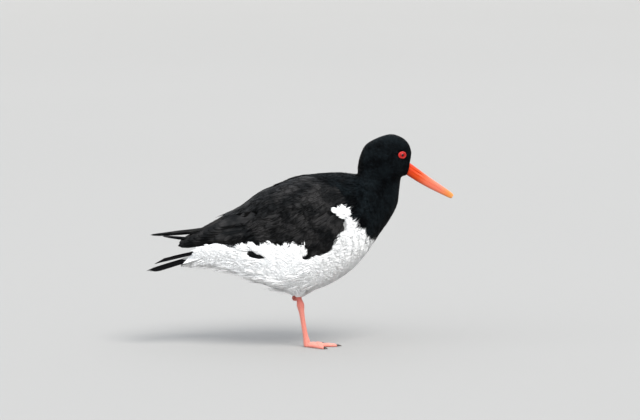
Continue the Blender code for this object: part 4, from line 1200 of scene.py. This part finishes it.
def tail_material():
    """White at the base and black at the end, parted by a slightly uneven line across the feathers."""
    made, tree, shader = principled("tail_plumage", (0.02, 0.02, 0.02), 0.8, Specular_IOR_Level=0.0)
    barbs = grouped(tree, BARBS, Count=60.0, Slant=14.0)
    place = object_place(tree)
    x, _, z = heights(tree, place)
    line = maths(tree, "ADD", x, maths(tree, "MULTIPLY", noise_at(tree, place, 260.0), 0.006))
    line = maths(tree, "SUBTRACT", line, maths(tree, "MULTIPLY", z, 1.1))
    white = maths(tree, "MULTIPLY", maths(tree, "ADD", line, BLACK_END), 900.0, clamp=True)
    dark = blend(tree, barbs.outputs["Streak"], (0.0010, 0.0012, 0.0018), (0.0110, 0.0105, 0.0110))
    pale = blend(tree, barbs.outputs["Streak"], (0.74, 0.74, 0.73), (0.92, 0.92, 0.92))
    tree.links.new(blend(tree, white, dark, pale), shader.inputs["Base Color"])
    bump(tree, shader, barbs.outputs["Height"], 0.4, 0.0002)
    return made


TAIL = tail_material()
print("tail material", TAIL.name)

# %% Tail feathers
TAIL_ROOTS = {-1.0: np.array((-0.1180, 0.0, 0.1255)), 1.0: np.array((-0.1180, 0.0, 0.1268))}
TAIL_TIPS = {-1.0: np.array((-0.2093, 0.0, 0.0995)), 1.0: np.array((-0.1990, 0.0, 0.1080))}
TAIL_ROLL = {-1.0: 0.05, 1.0: 0.17}
TAIL_WIDTH = 0.0122
# Gaps between the feathers at their roots and at their tips
ROOT_GAP, TIP_GAP = 0.0022, 0.0034


def off_middle(side, i, gap):
    """How far the tail's feather i stands off the middle, and how far the tilt lifts it."""
    return np.array((0.0, side * gap * (i + 0.5), side * TAIL_ROLL[side] * gap * (i + 0.5)))


roots, tips = [], []
for side in (-1.0, 1.0):
    for i in range(6):
        roots.append(TAIL_ROOTS[side] + off_middle(side, i, ROOT_GAP))
        shorter = np.array((0.0022 * i, 0.0, 0.0006 * i))
        tips.append(TAIL_TIPS[side] + (off_middle(side, i, TIP_GAP) + shorter))
roots, tips = np.array(roots), np.array(tips)
t = np.array(FLIGHT_SHARES)
path = roots[:, None] + (tips - roots)[:, None] * t[None, :, None]
tier = np.tile(np.linspace(0.0013, -0.0013, 6), 2)[:, None]
parted = np.minimum(1.0, np.minimum(t / 0.3, (1.02 - t) / 0.10))
path[..., 2] += 0.0010 * np.sin(np.pi * t) + tier * parted
way = unit(np.gradient(path, axis=1))
tilts = np.repeat(np.array((-TAIL_ROLL[-1.0], -TAIL_ROLL[1.0])), 6)[:, None] + 0.0 * t
up = np.stack([np.zeros((12, len(t))), tilts, np.ones((12, len(t)))], -1)
half = np.full((12, 1), TAIL_WIDTH / 2) * FLIGHT_WIDTHS
thick = np.full_like(half, FLIGHT_THICK)
tail_map = np.stack([0.5 + roots[:, 1] * 8, np.full(12, 0.03)], -1)
tone = rng.uniform(0.3, 0.6, 12)
data = blades(path, up, way, half, thick, FLIGHT, FLIGHT_SHARES, tail_map, tone)
dress(mesh_object("tail_feathers", data, TAIL), "black_plumage", "tail")
print("tail feathers", len(roots))

# %% [markdown]
# ## The bill
# The bill is long, straight and blunt: two horny halves that meet in a line, with a slit of a
# nostril in a shallow groove. Its colour runs from orange-red at the base to yellow at the worn
# tip.

# %% Shape of the bill
BILL_ROOT = Vector((0.1316, 0.0, 0.2334))
BILL_LENGTH = 0.068
BILL_ANGLE = math.radians(-32.4)
# share of the length, height above and below the mouth line, half width
BILL_SECTIONS = np.array([
    (-0.10, 0.0074, 0.0076, 0.0078), (0.00, 0.0072, 0.0077, 0.0062), (0.14, 0.0066, 0.0079, 0.0049),
    (0.32, 0.0057, 0.0077, 0.0039), (0.52, 0.0049, 0.0069, 0.0032), (0.70, 0.0046, 0.0056, 0.0027),
    (0.86, 0.0041, 0.0043, 0.0022), (0.96, 0.0034, 0.0034, 0.0017), (1.00, 0.0023, 0.0024, 0.0012),
])
BILL_WAY = Vector((math.cos(BILL_ANGLE), 0.0, math.sin(BILL_ANGLE)))
BILL_UP = Vector((-BILL_WAY.z, 0.0, BILL_WAY.x))


def bill_half(upper):
    """A D-shaped loft with a groove along the nostril, flat where it meets the other half."""
    share, angle = lattice(np.linspace(-0.10, 1.0, 90), np.linspace(0.0, math.pi, 25))
    rise, fall, half = (through(BILL_SECTIONS[:, 0], BILL_SECTIONS[:, k], share) for k in (1, 2, 3))
    high = (rise if upper else fall) * np.sin(angle) ** 0.85
    if upper:
        groove = np.interp(share, (-0.1, 0.0, 0.42, 0.60), (0.4, 1.0, 0.8, 0.0))
        inset = 0.22 * np.exp(-((high / rise - 0.40) / 0.16) ** 2) * groove
        slit = np.exp(-(((share - 0.20) / 0.075) ** 2)) * np.exp(-((high - 0.0024) / 0.0006) ** 2)
        half = half * (1.0 - inset * 0.6 - 0.30 * slit)
    across = np.sign(np.cos(angle)) * np.abs(np.cos(angle)) ** 0.85 * half
    along = np.array(BILL_WAY) * (share * BILL_LENGTH)[..., None]
    lift = np.array(BILL_UP) * ((0.00012 + high) * (1.0 if upper else -1.0))[..., None]
    return np.array(BILL_ROOT) + along + lift + np.array((0.0, 1.0, 0.0)) * across[..., None]


print("bill", round(1000 * BILL_LENGTH), "mm from its root in the face")

# %% Horn of the bill


def vectors(tree, operation, a, b=None):
    """A vector maths node on a socket and a fixed vector."""
    node = tree.nodes.new("ShaderNodeVectorMath")
    node.operation = operation
    tree.links.new(a, node.inputs[0])
    if b is not None:
        node.inputs[1].default_value = b
    return node.outputs["Value" if operation == "DOT_PRODUCT" else "Vector"]


def ramp(tree, share, stops):
    """A colour ramp from pairs of a position and a colour."""
    node = tree.nodes.new("ShaderNodeValToRGB")
    while len(node.color_ramp.elements) < len(stops):
        node.color_ramp.elements.new(0.5)
    for element, (at, colour) in zip(node.color_ramp.elements, stops):
        element.position = at
        element.color = (*colour, 1.0)
    tree.links.new(share, node.inputs[0])
    return node.outputs[0]


def bill_material():
    """Horn from orange-red to yellow, with fine worn creases."""
    made, tree, shader = principled("bill_horn", (0.9, 0.15, 0.03), 0.40, Specular_IOR_Level=0.25)
    place = object_place(tree)
    start = BILL_ROOT.dot(BILL_WAY)
    along = maths(tree, "SUBTRACT", vectors(tree, "DOT_PRODUCT", place, BILL_WAY), start)
    streaks = maths(tree, "SUBTRACT", noise_at(tree, place, 320.0), 0.5)
    share = maths(tree, "ADD", maths(tree, "DIVIDE", along, BILL_LENGTH),
                  maths(tree, "MULTIPLY", streaks, 0.10))
    colour = ramp(tree, share, (
        (0.0, (0.49, 0.027, 0.001)), (0.24, (0.55, 0.050, 0.002)), (0.42, (0.61, 0.124, 0.062)),
        (0.70, (0.61, 0.154, 0.098)), (0.90, (0.61, 0.190, 0.045)), (1.0, (0.60, 0.255, 0.062)),
    ))
    scales = grouped(tree, SCALES, Size=260.0, Wobble=500.0)
    tint_weight = maths(tree, "MULTIPLY", scales.outputs["Crease"], 0.12)
    tree.links.new(blend(tree, tint_weight, colour, (0.55, 0.05, 0.01)), shader.inputs["Base Color"])
    bump(tree, shader, scales.outputs["Height"], 0.12, 0.0003)
    return made


HORN = bill_material()
for name, upper in (("bill_upper", True), ("bill_lower", False)):
    half = add(f"{name}_horn", grid_mesh(name, bill_half(upper)), HORN)
    half.data.set_sharp_from_angle(angle=math.radians(60.0))
    dress(half, "bill", name)
    print(half.name, len(half.data.polygons), "faces")

# %% [markdown]
# ## The eyes
# A scarlet iris round a black pupil under a clear cornea, in a fleshy orange-red ring. The iris
# is painted by the angle from the eye's axis, and the ring is turned on a lathe with a rolled
# inner edge, its upper lid drawn slightly over the eye.

# %% Eye and lid materials


def eye_material(label, centre, look):
    """Pupil, iris and dark rim, by how far a point lies from the eye's axis."""
    made, tree, shader = principled(f"eye_{label}", (0.4, 0.01, 0.01), 0.25,
                                    Specular_IOR_Level=0.2, Coat_Weight=0.12, Coat_Roughness=0.05)
    place = object_place(tree)
    way = vectors(tree, "NORMALIZE", vectors(tree, "SUBTRACT", place, centre))
    angle = maths(tree, "ARCCOSINE", vectors(tree, "DOT_PRODUCT", way, look))
    fleck = maths(tree, "SUBTRACT", noise_at(tree, place, 1400.0), 0.5)
    angle = maths(tree, "ADD", angle, maths(tree, "MULTIPLY", fleck, 0.05))
    colour = ramp(tree, angle, (
        (0.0, (0.010, 0.002, 0.002)), (0.24, (0.012, 0.002, 0.002)), (0.28, (0.16, 0.004, 0.006)),
        (0.46, (0.42, 0.008, 0.009)), (0.60, (0.30, 0.006, 0.007)), (0.70, (0.04, 0.002, 0.002)),
    ))
    tree.links.new(colour, shader.inputs["Base Color"])
    return made


def lid_material():
    """Fleshy skin with fine wrinkles."""
    made, tree, shader = principled("orbital_ring", (0.85, 0.06, 0.02), 0.42, Specular_IOR_Level=0.25)
    scales = grouped(tree, SCALES, Size=2200.0, Wobble=900.0)
    share = maths(tree, "MULTIPLY", scales.outputs["Crease"], 0.5)
    tree.links.new(blend(tree, share, (0.47, 0.021, 0.016), (0.24, 0.009, 0.008)),
                   shader.inputs["Base Color"])
    bump(tree, shader, scales.outputs["Height"], 0.5, 0.0002)
    return made


LID = lid_material()
print("lid material", LID.name)

# %% Eyes and lids
LID_STEPS = 64
LID_OPEN = math.radians(38.0)
# Angle off the eye's axis and distance from its middle, from the outer edge over the roll
LID_RINGS = (
    (math.radians(66.0), 0.0052), (math.radians(62.0), 0.00615), (math.radians(56.0), 0.00655),
    (math.radians(50.0), 0.00645), (LID_OPEN + 0.07, 0.00655), (LID_OPEN + 0.01, 0.00640),
    (LID_OPEN - 0.01, 0.00610), (LID_OPEN, 0.00575), (LID_OPEN + 0.06, 0.00545),
)


def lid_mesh(centre, look):
    """A lathed ring on the eyeball with a rolled edge; the lids narrow it above and below."""
    turn = Vector((0.0, 0.0, 1.0)).rotation_difference(look).to_matrix()
    rings = []
    for k in range(LID_STEPS):
        around = math.tau * k / LID_STEPS
        out = turn @ Vector((math.cos(around), math.sin(around), 0.0))
        oval = 1.0 - 0.20 * out.z**2 + 0.05 * max(0.0, out.x * 0.8 + out.z * 0.4)
        ring = []
        for angle, radius in LID_RINGS:
            wrinkle = 0.00006 * math.sin(around * 21.0) * math.sin(angle * 9.0)
            angle *= oval
            off = math.sin(angle)
            aim = Vector((off * math.cos(around), off * math.sin(around), math.cos(angle)))
            ring.append(centre + turn @ aim * (radius + wrinkle))
        rings.append(ring)
    count = len(rings[0])
    points = [tuple(p) for ring in rings for p in ring]
    faces = []
    for k in range(LID_STEPS):
        k2 = (k + 1) % LID_STEPS
        for i in range(count):
            j = (i + 1) % count
            faces.append([k * count + i, k * count + j, k2 * count + j, k2 * count + i])
    return closed_mesh("lid", points, faces)


for label, side in WINGS.items():
    centre, look = mirrored(EYE_CENTRE, side), mirrored(EYE_LOOK, side)
    bpy.ops.mesh.primitive_uv_sphere_add(segments=64, ring_count=40, radius=EYE_RADIUS)
    ball = bpy.context.object
    ball.name = f"eyeball_{label}"
    for vertex in ball.data.vertices:
        bulge = max(0.0, vertex.co.normalized().dot(look) - 0.80) / 0.20
        vertex.co *= 1.0 + 0.07 * bulge * (2.0 - bulge)
    ball.data.transform(Matrix.Translation(centre))
    ball.data.materials.append(eye_material(label, centre, look))
    ball.data.shade_smooth()
    dress(ball, "eye", f"eye_{label}")
    dress(add(f"orbital_ring_{label}", lid_mesh(centre, look), LID), "eye_ring", f"eye_ring_{label}")
print("eyes", 2 * EYE_RADIUS * 1000, "mm across")

# %% [markdown]
# ## Legs and feet
# The legs are pink and covered in small scales. A row of broad scutes runs down the front of the
# shank and over each toe. Tubes with many rings carry the joints and pads, and the scutes are
# modelled as ridges.

# %% Leg and claw materials


def leg_material():
    """Pink scaly skin, darker and redder above the ankle with painted shade from the belly."""
    made, tree, shader = principled("leg_scales", (0.85, 0.30, 0.24), 0.45)
    scales = grouped(tree, SCALES, Size=620.0, Wobble=240.0)
    # Painted shade from the belly: the skin turns darker and redder above the ankle
    _, _, z = heights(tree, object_place(tree))
    height = maths(tree, "MULTIPLY", maths(tree, "SUBTRACT", z, 0.050), 60.0, clamp=True)
    skin_and_belly_shade = blend(tree, height, (0.72, 0.245, 0.19), (0.49, 0.105, 0.080))
    share = maths(tree, "MULTIPLY", scales.outputs["Crease"], 0.45)
    tree.links.new(blend(tree, share, skin_and_belly_shade, (0.48, 0.10, 0.08)), shader.inputs["Base Color"])
    bump(tree, shader, scales.outputs["Height"], 0.5, 0.0003)
    return made


def claw_material():
    """Dark horn with paler creases."""
    made, tree, shader = principled("claw_horn", (0.03, 0.022, 0.02), 0.35)
    scales = grouped(tree, SCALES, Size=300.0, Wobble=700.0)
    tree.links.new(blend(tree, scales.outputs["Crease"], (0.030, 0.022, 0.018), (0.075, 0.055, 0.045)),
                   shader.inputs["Base Color"])
    bump(tree, shader, scales.outputs["Height"], 0.2, 0.0002)
    return made


LEG, CLAW = leg_material(), claw_material()
print("leg materials", LEG.name, CLAW.name)

# %% Standing leg
# middle x, y and z, half widths fore and aft and across, from the thigh down to the floor
LEG_RINGS = np.array([
    (-0.0113, -0.0117, 0.0720, 0.0033, 0.0031), (-0.0103, -0.0104, 0.0640, 0.0036, 0.0033),
    (-0.0095, -0.0098, 0.0610, 0.0040, 0.0036),
    (-0.0085, -0.0090, 0.0565, 0.0049, 0.0043), (-0.0078, -0.0083, 0.0520, 0.0044, 0.0038),
    (-0.0068, -0.0073, 0.0450, 0.0034, 0.0029), (-0.0045, -0.0047, 0.0300, 0.0031, 0.0026),
    (-0.0022, -0.0022, 0.0160, 0.0033, 0.0029), (-0.0008, -0.0008, 0.0090, 0.0041, 0.0041),
    (0.0000, 0.0000, 0.0040, 0.0046, 0.0048), (0.0004, 0.0000, 0.0012, 0.0043, 0.0046),
    (0.0004, 0.0000, 0.0000, 0.0034, 0.0036),
])


def tube_points(centres, fore, wide, count, ridge=None):
    """Oval rings square to a path; ridge(share, angle) raises scutes on it."""
    way = unit(np.gradient(centres, axis=0))
    side = np.where(np.abs(way[:, 1:2]) < 0.9, np.array([[0.0, 1.0, 0.0]]), np.array([[1.0, 0.0, 0.0]]))
    front = unit(np.cross(side, way))
    side = unit(np.cross(way, front))
    angle = np.linspace(0.0, math.tau, count, endpoint=False)
    points = (
        centres[:, None]
        + front[:, None] * (fore[:, None] * np.cos(angle))[..., None]
        + side[:, None] * (wide[:, None] * np.sin(angle))[..., None]
    )
    if ridge is not None:
        out = unit(points - centres[:, None])
        height = ridge(np.linspace(0.0, 1.0, len(centres))[:, None], angle[None, :])
        points = points + out * height[..., None]
    return points


def horny(name, points, node):
    """A leg piece or a claw from rings of points, in place of one solid."""
    material, slot = (CLAW, "claw") if node.startswith("claw") else (LEG, "leg_skin")
    dress(add(name, grid_mesh(name, points), material), slot, node)


def scutes(count, facing):
    """Overlapping plates down the side of a leg that faces a given way."""

    def ridge(share, angle):
        saw = (share * count) % 1.0
        plate = np.clip(np.cos(angle - facing), 0.0, 1.0) ** 0.6
        return 0.00016 * plate * (1.0 - saw) - 0.00008 * plate

    return ridge


knots = np.linspace(0.0, 1.0, len(LEG_RINGS))
at = np.linspace(0.0, 1.0, 150)
leg = np.stack([through(knots, LEG_RINGS[:, k], at) for k in range(5)], -1)
shank = tube_points(leg[:, :3], leg[:, 3], leg[:, 4], 40, scutes(26, math.pi))
horny("shank_right", shank, "tarsus_right")
print("standing leg", len(leg), "rings")

# %% Standing foot
# share of the length, half width, height
TOE_SECTIONS = np.array([
    (0.04, 0.0038, 0.0074), (0.16, 0.0034, 0.0062), (0.34, 0.0030, 0.0053), (0.44, 0.0033, 0.0057),
    (0.56, 0.0028, 0.0048), (0.70, 0.0030, 0.0051), (0.84, 0.0026, 0.0044), (0.95, 0.0022, 0.0038),
    (1.00, 0.0013, 0.0026),
])
# Length of a scute on a toe and of a claw
SCUTE, CLAW_LENGTH = 0.0016, 0.0065
CLAW_SHARES = np.array((-0.25, 0.1, 0.4, 0.7, 0.9, 1.0))
CLAW_THICK = np.array((0.95, 1.0, 0.8, 0.52, 0.28, 0.10))


def toe_points(heading, length):
    """A toe on the floor: rounded above with scutes across it, padded and flat beneath."""
    share = np.linspace(0.04, 1.0, 110)
    half, height = (through(TOE_SECTIONS[:, 0], TOE_SECTIONS[:, k], share) for k in (1, 2))
    way = np.array((math.cos(heading), math.sin(heading), 0.0))
    across = np.array((-way[1], way[0], 0.0))
    angle = np.linspace(0.0, math.pi, 17)
    saw = (share * length / SCUTE) % 1.0
    top = height * 0.985 + 0.00018 * (1.0 - saw)
    reach = np.sign(np.cos(angle)) * np.abs(np.cos(angle)) ** 0.7
    arch = way * (share * length)[:, None, None] + across * (half[:, None] * reach)[..., None]
    arch = arch + np.array((0.0, 0.0, 1.0)) * (top[:, None] * (0.32 + 0.68 * np.sin(angle)))[..., None]
    sole = []
    for c in (-0.80, -0.55, 0.0, 0.55, 0.80):
        drop = 0.0006 if abs(c) > 0.6 else 0.0
        sole.append(way * (share * length)[:, None] + across * (half * c)[:, None]
                    + np.array((0.0, 0.0, 1.0)) * drop)
    return np.concatenate([arch, np.stack(sole, 1)], axis=1)


def claw_points(base, way, drop):
    """A tapered claw that bends down by drop at its tip."""
    share = np.linspace(-0.25, 1.0, 24)
    thick = 0.0014 * np.interp(share, CLAW_SHARES, CLAW_THICK)
    down = np.array((0.0, 0.0, 1.0)) * (drop * np.maximum(share, 0.0) ** 2)[:, None]
    centres = base + way * (CLAW_LENGTH * share)[:, None] - down
    return tube_points(centres, thick, thick * 0.85, 16)


for label, heading, length in (("middle", 2.0, 0.0390), ("inner", 44.0, 0.0270),
                               ("outer", -44.0, 0.0310)):
    turn = math.radians(heading)
    horny(f"toe_right_{label}_skin", toe_points(turn, length), f"toe_right_{label}")
    way = np.array((math.cos(turn), math.sin(turn), 0.0))
    claw = claw_points(way * length + np.array((0, 0, 0.0021)), way, 0.0010)
    horny(f"claw_right_{label}_horn", claw, f"claw_right_{label}")
print("standing foot done")

# %% [markdown]
# ## The leg drawn up
# The other leg is folded against the belly: its hock shows behind the standing leg, and the shank
# and toes run forward into the feathers of the left side, which cover most of the shank.

# %% Drawn-up leg
HOCK = np.array((-0.0160, 0.0105, 0.0630))
SHANK_END = (0.0190, 0.0860)
# Half thickness of the shank and of a toe, and the angle at which the toes rise
SHANK_THICK, TOE_THICK, TOE_RISE = 0.0029, 0.0023, 0.68
# share of the length, share of the half thickness
SHANK_SECTIONS = np.array([
    (-0.07, 0.75), (-0.03, 1.25), (0.03, 1.55), (0.10, 1.35), (0.22, 1.05), (0.50, 0.98), (0.80, 1.05),
    (0.92, 1.25), (1.00, 1.20),
])


def belly_point(x, z, lift):
    """A place on the left side of the torso in the side view, raised off it."""
    rows = BODY_SECTIONS[:11]

    def half_at(x, z):
        top, bottom, half = (through(rows[:, 0], rows[:, k], x) for k in (1, 3, 4))
        down = (top - z) / (top - bottom)
        c = np.clip(np.abs(1.0 - 2.0 * down), 0.0, 0.985) ** (1.0 / FULLNESS)
        return half * np.sqrt(1.0 - c * c) ** FULLNESS

    e = 0.0008
    out = unit(np.stack([
        -(half_at(x + e, z) - half_at(x - e, z)) / (2 * e), 1.0 + 0.0 * x,
        -(half_at(x, z + e) - half_at(x, z - e)) / (2 * e),
    ], -1))
    return np.stack([x, half_at(x, z), z], -1) + out * np.asarray(lift)[..., None]


end = belly_point(np.array(SHANK_END[0]), np.array(SHANK_END[1]), 0.0043)
share = np.linspace(-0.07, 1.0, 120)
thick = SHANK_THICK * through(SHANK_SECTIONS[:, 0], SHANK_SECTIONS[:, 1], share)
centres = HOCK + (end - HOCK) * share[:, None]
horny("shank_left", tube_points(centres, thick, thick * 0.9, 36, scutes(24, 0.0)), "tarsus_left")
for label, spread, length in (("middle", 0.0000, 0.0340), ("inner", 0.0060, 0.0245),
                              ("outer", -0.0060, 0.0285)):
    share = np.linspace(0.0, 1.0, 80)
    fan = spread * np.minimum(1.0, share * 2.5)
    thick = TOE_THICK * (1.12 - 0.30 * share + 0.10 * np.cos(share * 18.0))
    x = SHANK_END[0] + length * share * math.cos(TOE_RISE)
    z = SHANK_END[1] + length * share * math.sin(TOE_RISE) + fan
    centres = belly_point(x, z, thick + 0.0010)
    thick = thick * np.interp(share, (0.0, 0.94, 1.0), (1.0, 1.0, 0.62))
    toe = tube_points(centres, thick, thick, 24, scutes(int(length / SCUTE), 0.0))
    horny(f"toe_left_{label}_skin", toe, f"toe_left_{label}")
    way = unit(centres[-1] - centres[-6])
    claw = claw_points(centres[-1] + np.array((0, 0.0004, 0)), way, 0.0012)
    horny(f"claw_left_{label}_horn", claw, f"claw_left_{label}")
print("drawn-up leg done")

# %% Feathers over the drawn-up shank
COVER_RADIUS = 0.0042


def shank_surface(p, q):
    """A tube a little wider than the drawn-up shank, p from hock to toes and q round it."""
    way = unit(end - HOCK)
    side = unit(np.cross(way, np.array((0.0, 0.0, 1.0))))
    front = np.cross(side, way)
    round_it = side * np.cos(q)[..., None] + front * np.sin(q)[..., None]
    return HOCK + (end - HOCK) * p[..., None] + round_it * COVER_RADIUS


p, q = scatter(shank_surface, (0.34, 1.0), (0.0, math.tau), per_area=70000.0, step_p=0.01,
               cells=(60, 40))
n = len(p)
data = fans(shank_surface, p, q, turn=rng.normal(0.0, 0.15, n), length=rng.uniform(0.008, 0.012, n),
            width=0.0035, locks=5, depth=0.0012, rise=rng.uniform(0.0001, 0.0009, n),
            shade=np.clip(rng.normal(0.7, 0.15, n), 0, 1), step_p=0.01)
dress(mesh_object("shank_coat_left", data, WHITE), "white_plumage", "thigh_left")
print("shank cover", n, "feathers")

# %% [markdown]
# ## Floor, light and camera
# A pale floor and broad soft lights stand in for a museum case. The long lens and the low height
# of the camera are those of the photograph, so that the outline can be compared with it.

# %% Floor
# A wide round floor whose rim curves up into a wall; each pair is a radius and a height
PROFILE = [(0.0, 0.0), (2.0, 0.0), (6.0, 0.0), (7.5, 0.05), (8.6, 0.30), (9.4, 0.80), (9.9, 1.60),
           (10.0, 3.00)]
SPOKES = 96
rim = [(r * math.cos(math.tau * k / SPOKES), r * math.sin(math.tau * k / SPOKES), h)
       for r, h in PROFILE[1:] for k in range(SPOKES)]
wall = [(k + SPOKES, (k + 1) % SPOKES + SPOKES, (k + 1) % SPOKES, k) for k in range(SPOKES)]
quads = [tuple(i + r * SPOKES for i in quad) for r in range(len(PROFILE) - 2) for quad in wall]
floor_mesh = bpy.data.meshes.new("floor")
floor_mesh.from_pydata(rim, [], [tuple(range(SPOKES))] + quads)
floor_finish, floor_tree, floor_shader = principled("floor_finish", (0.60, 0.59, 0.57), 0.90,
                                                    Specular_IOR_Level=0.1)
grain = blend(floor_tree, noise_at(floor_tree, None, 6.0), (0.275, 0.271, 0.263), (0.292, 0.287, 0.279))
floor_tree.links.new(grain, floor_shader.inputs["Base Color"])
floor = add("floor", floor_mesh, floor_finish)
print("floor", 2 * PROFILE[-1][0], "m across")

# %% Lights and camera
TARGET, DISTANCE = Vector((0.0169, 0.0, 0.1796)), 4.62


def lamp(name, way, power, angle, colour):
    """A broad lamp far off, which lights the whole floor alike."""
    light = bpy.data.lights.new(name, "SUN")
    light.energy, light.angle, light.color = power, math.radians(angle), colour
    made = bpy.data.objects.new(name, light)
    made.rotation_mode = "QUATERNION"
    made.rotation_quaternion = Vector(way).to_track_quat("Z", "Y")
    made.location = Vector(way) * 4.0
    bpy.context.scene.collection.objects.link(made)


lamp("key", (0.55, -1.0, 1.35), 3.9, 30.0, (1.0, 0.985, 0.95))
lamp("fill", (-0.9, -0.9, 0.5), 2.0, 70.0, (0.94, 0.97, 1.0))
world = bpy.data.worlds.new("studio")
world.use_nodes = True
sky = world.node_tree.nodes["Background"].inputs
sky["Color"].default_value = (0.86, 0.90, 0.96, 1.0)
sky["Strength"].default_value = 1.6
bpy.context.scene.world = world
bpy.context.scene.view_settings.view_transform = "Standard"

tilt = math.radians(6.0)
lens = bpy.data.cameras.new("camera")
lens.lens, lens.sensor_width = 200.0, 36.0
lens.clip_start, lens.clip_end = 0.05, 60.0
camera = bpy.data.objects.new("camera", lens)
camera.location = TARGET + DISTANCE * Vector((0.0, -math.cos(tilt), math.sin(tilt)))
camera.rotation_mode = "QUATERNION"
camera.rotation_quaternion = (camera.location - TARGET).to_track_quat("Z", "Y")
bpy.context.scene.collection.objects.link(camera)
bpy.context.scene.camera = camera
print("camera", DISTANCE, "m away,", round(math.degrees(tilt)), "degrees up")

# %% Update the scene and finish
bpy.context.view_layer.update()
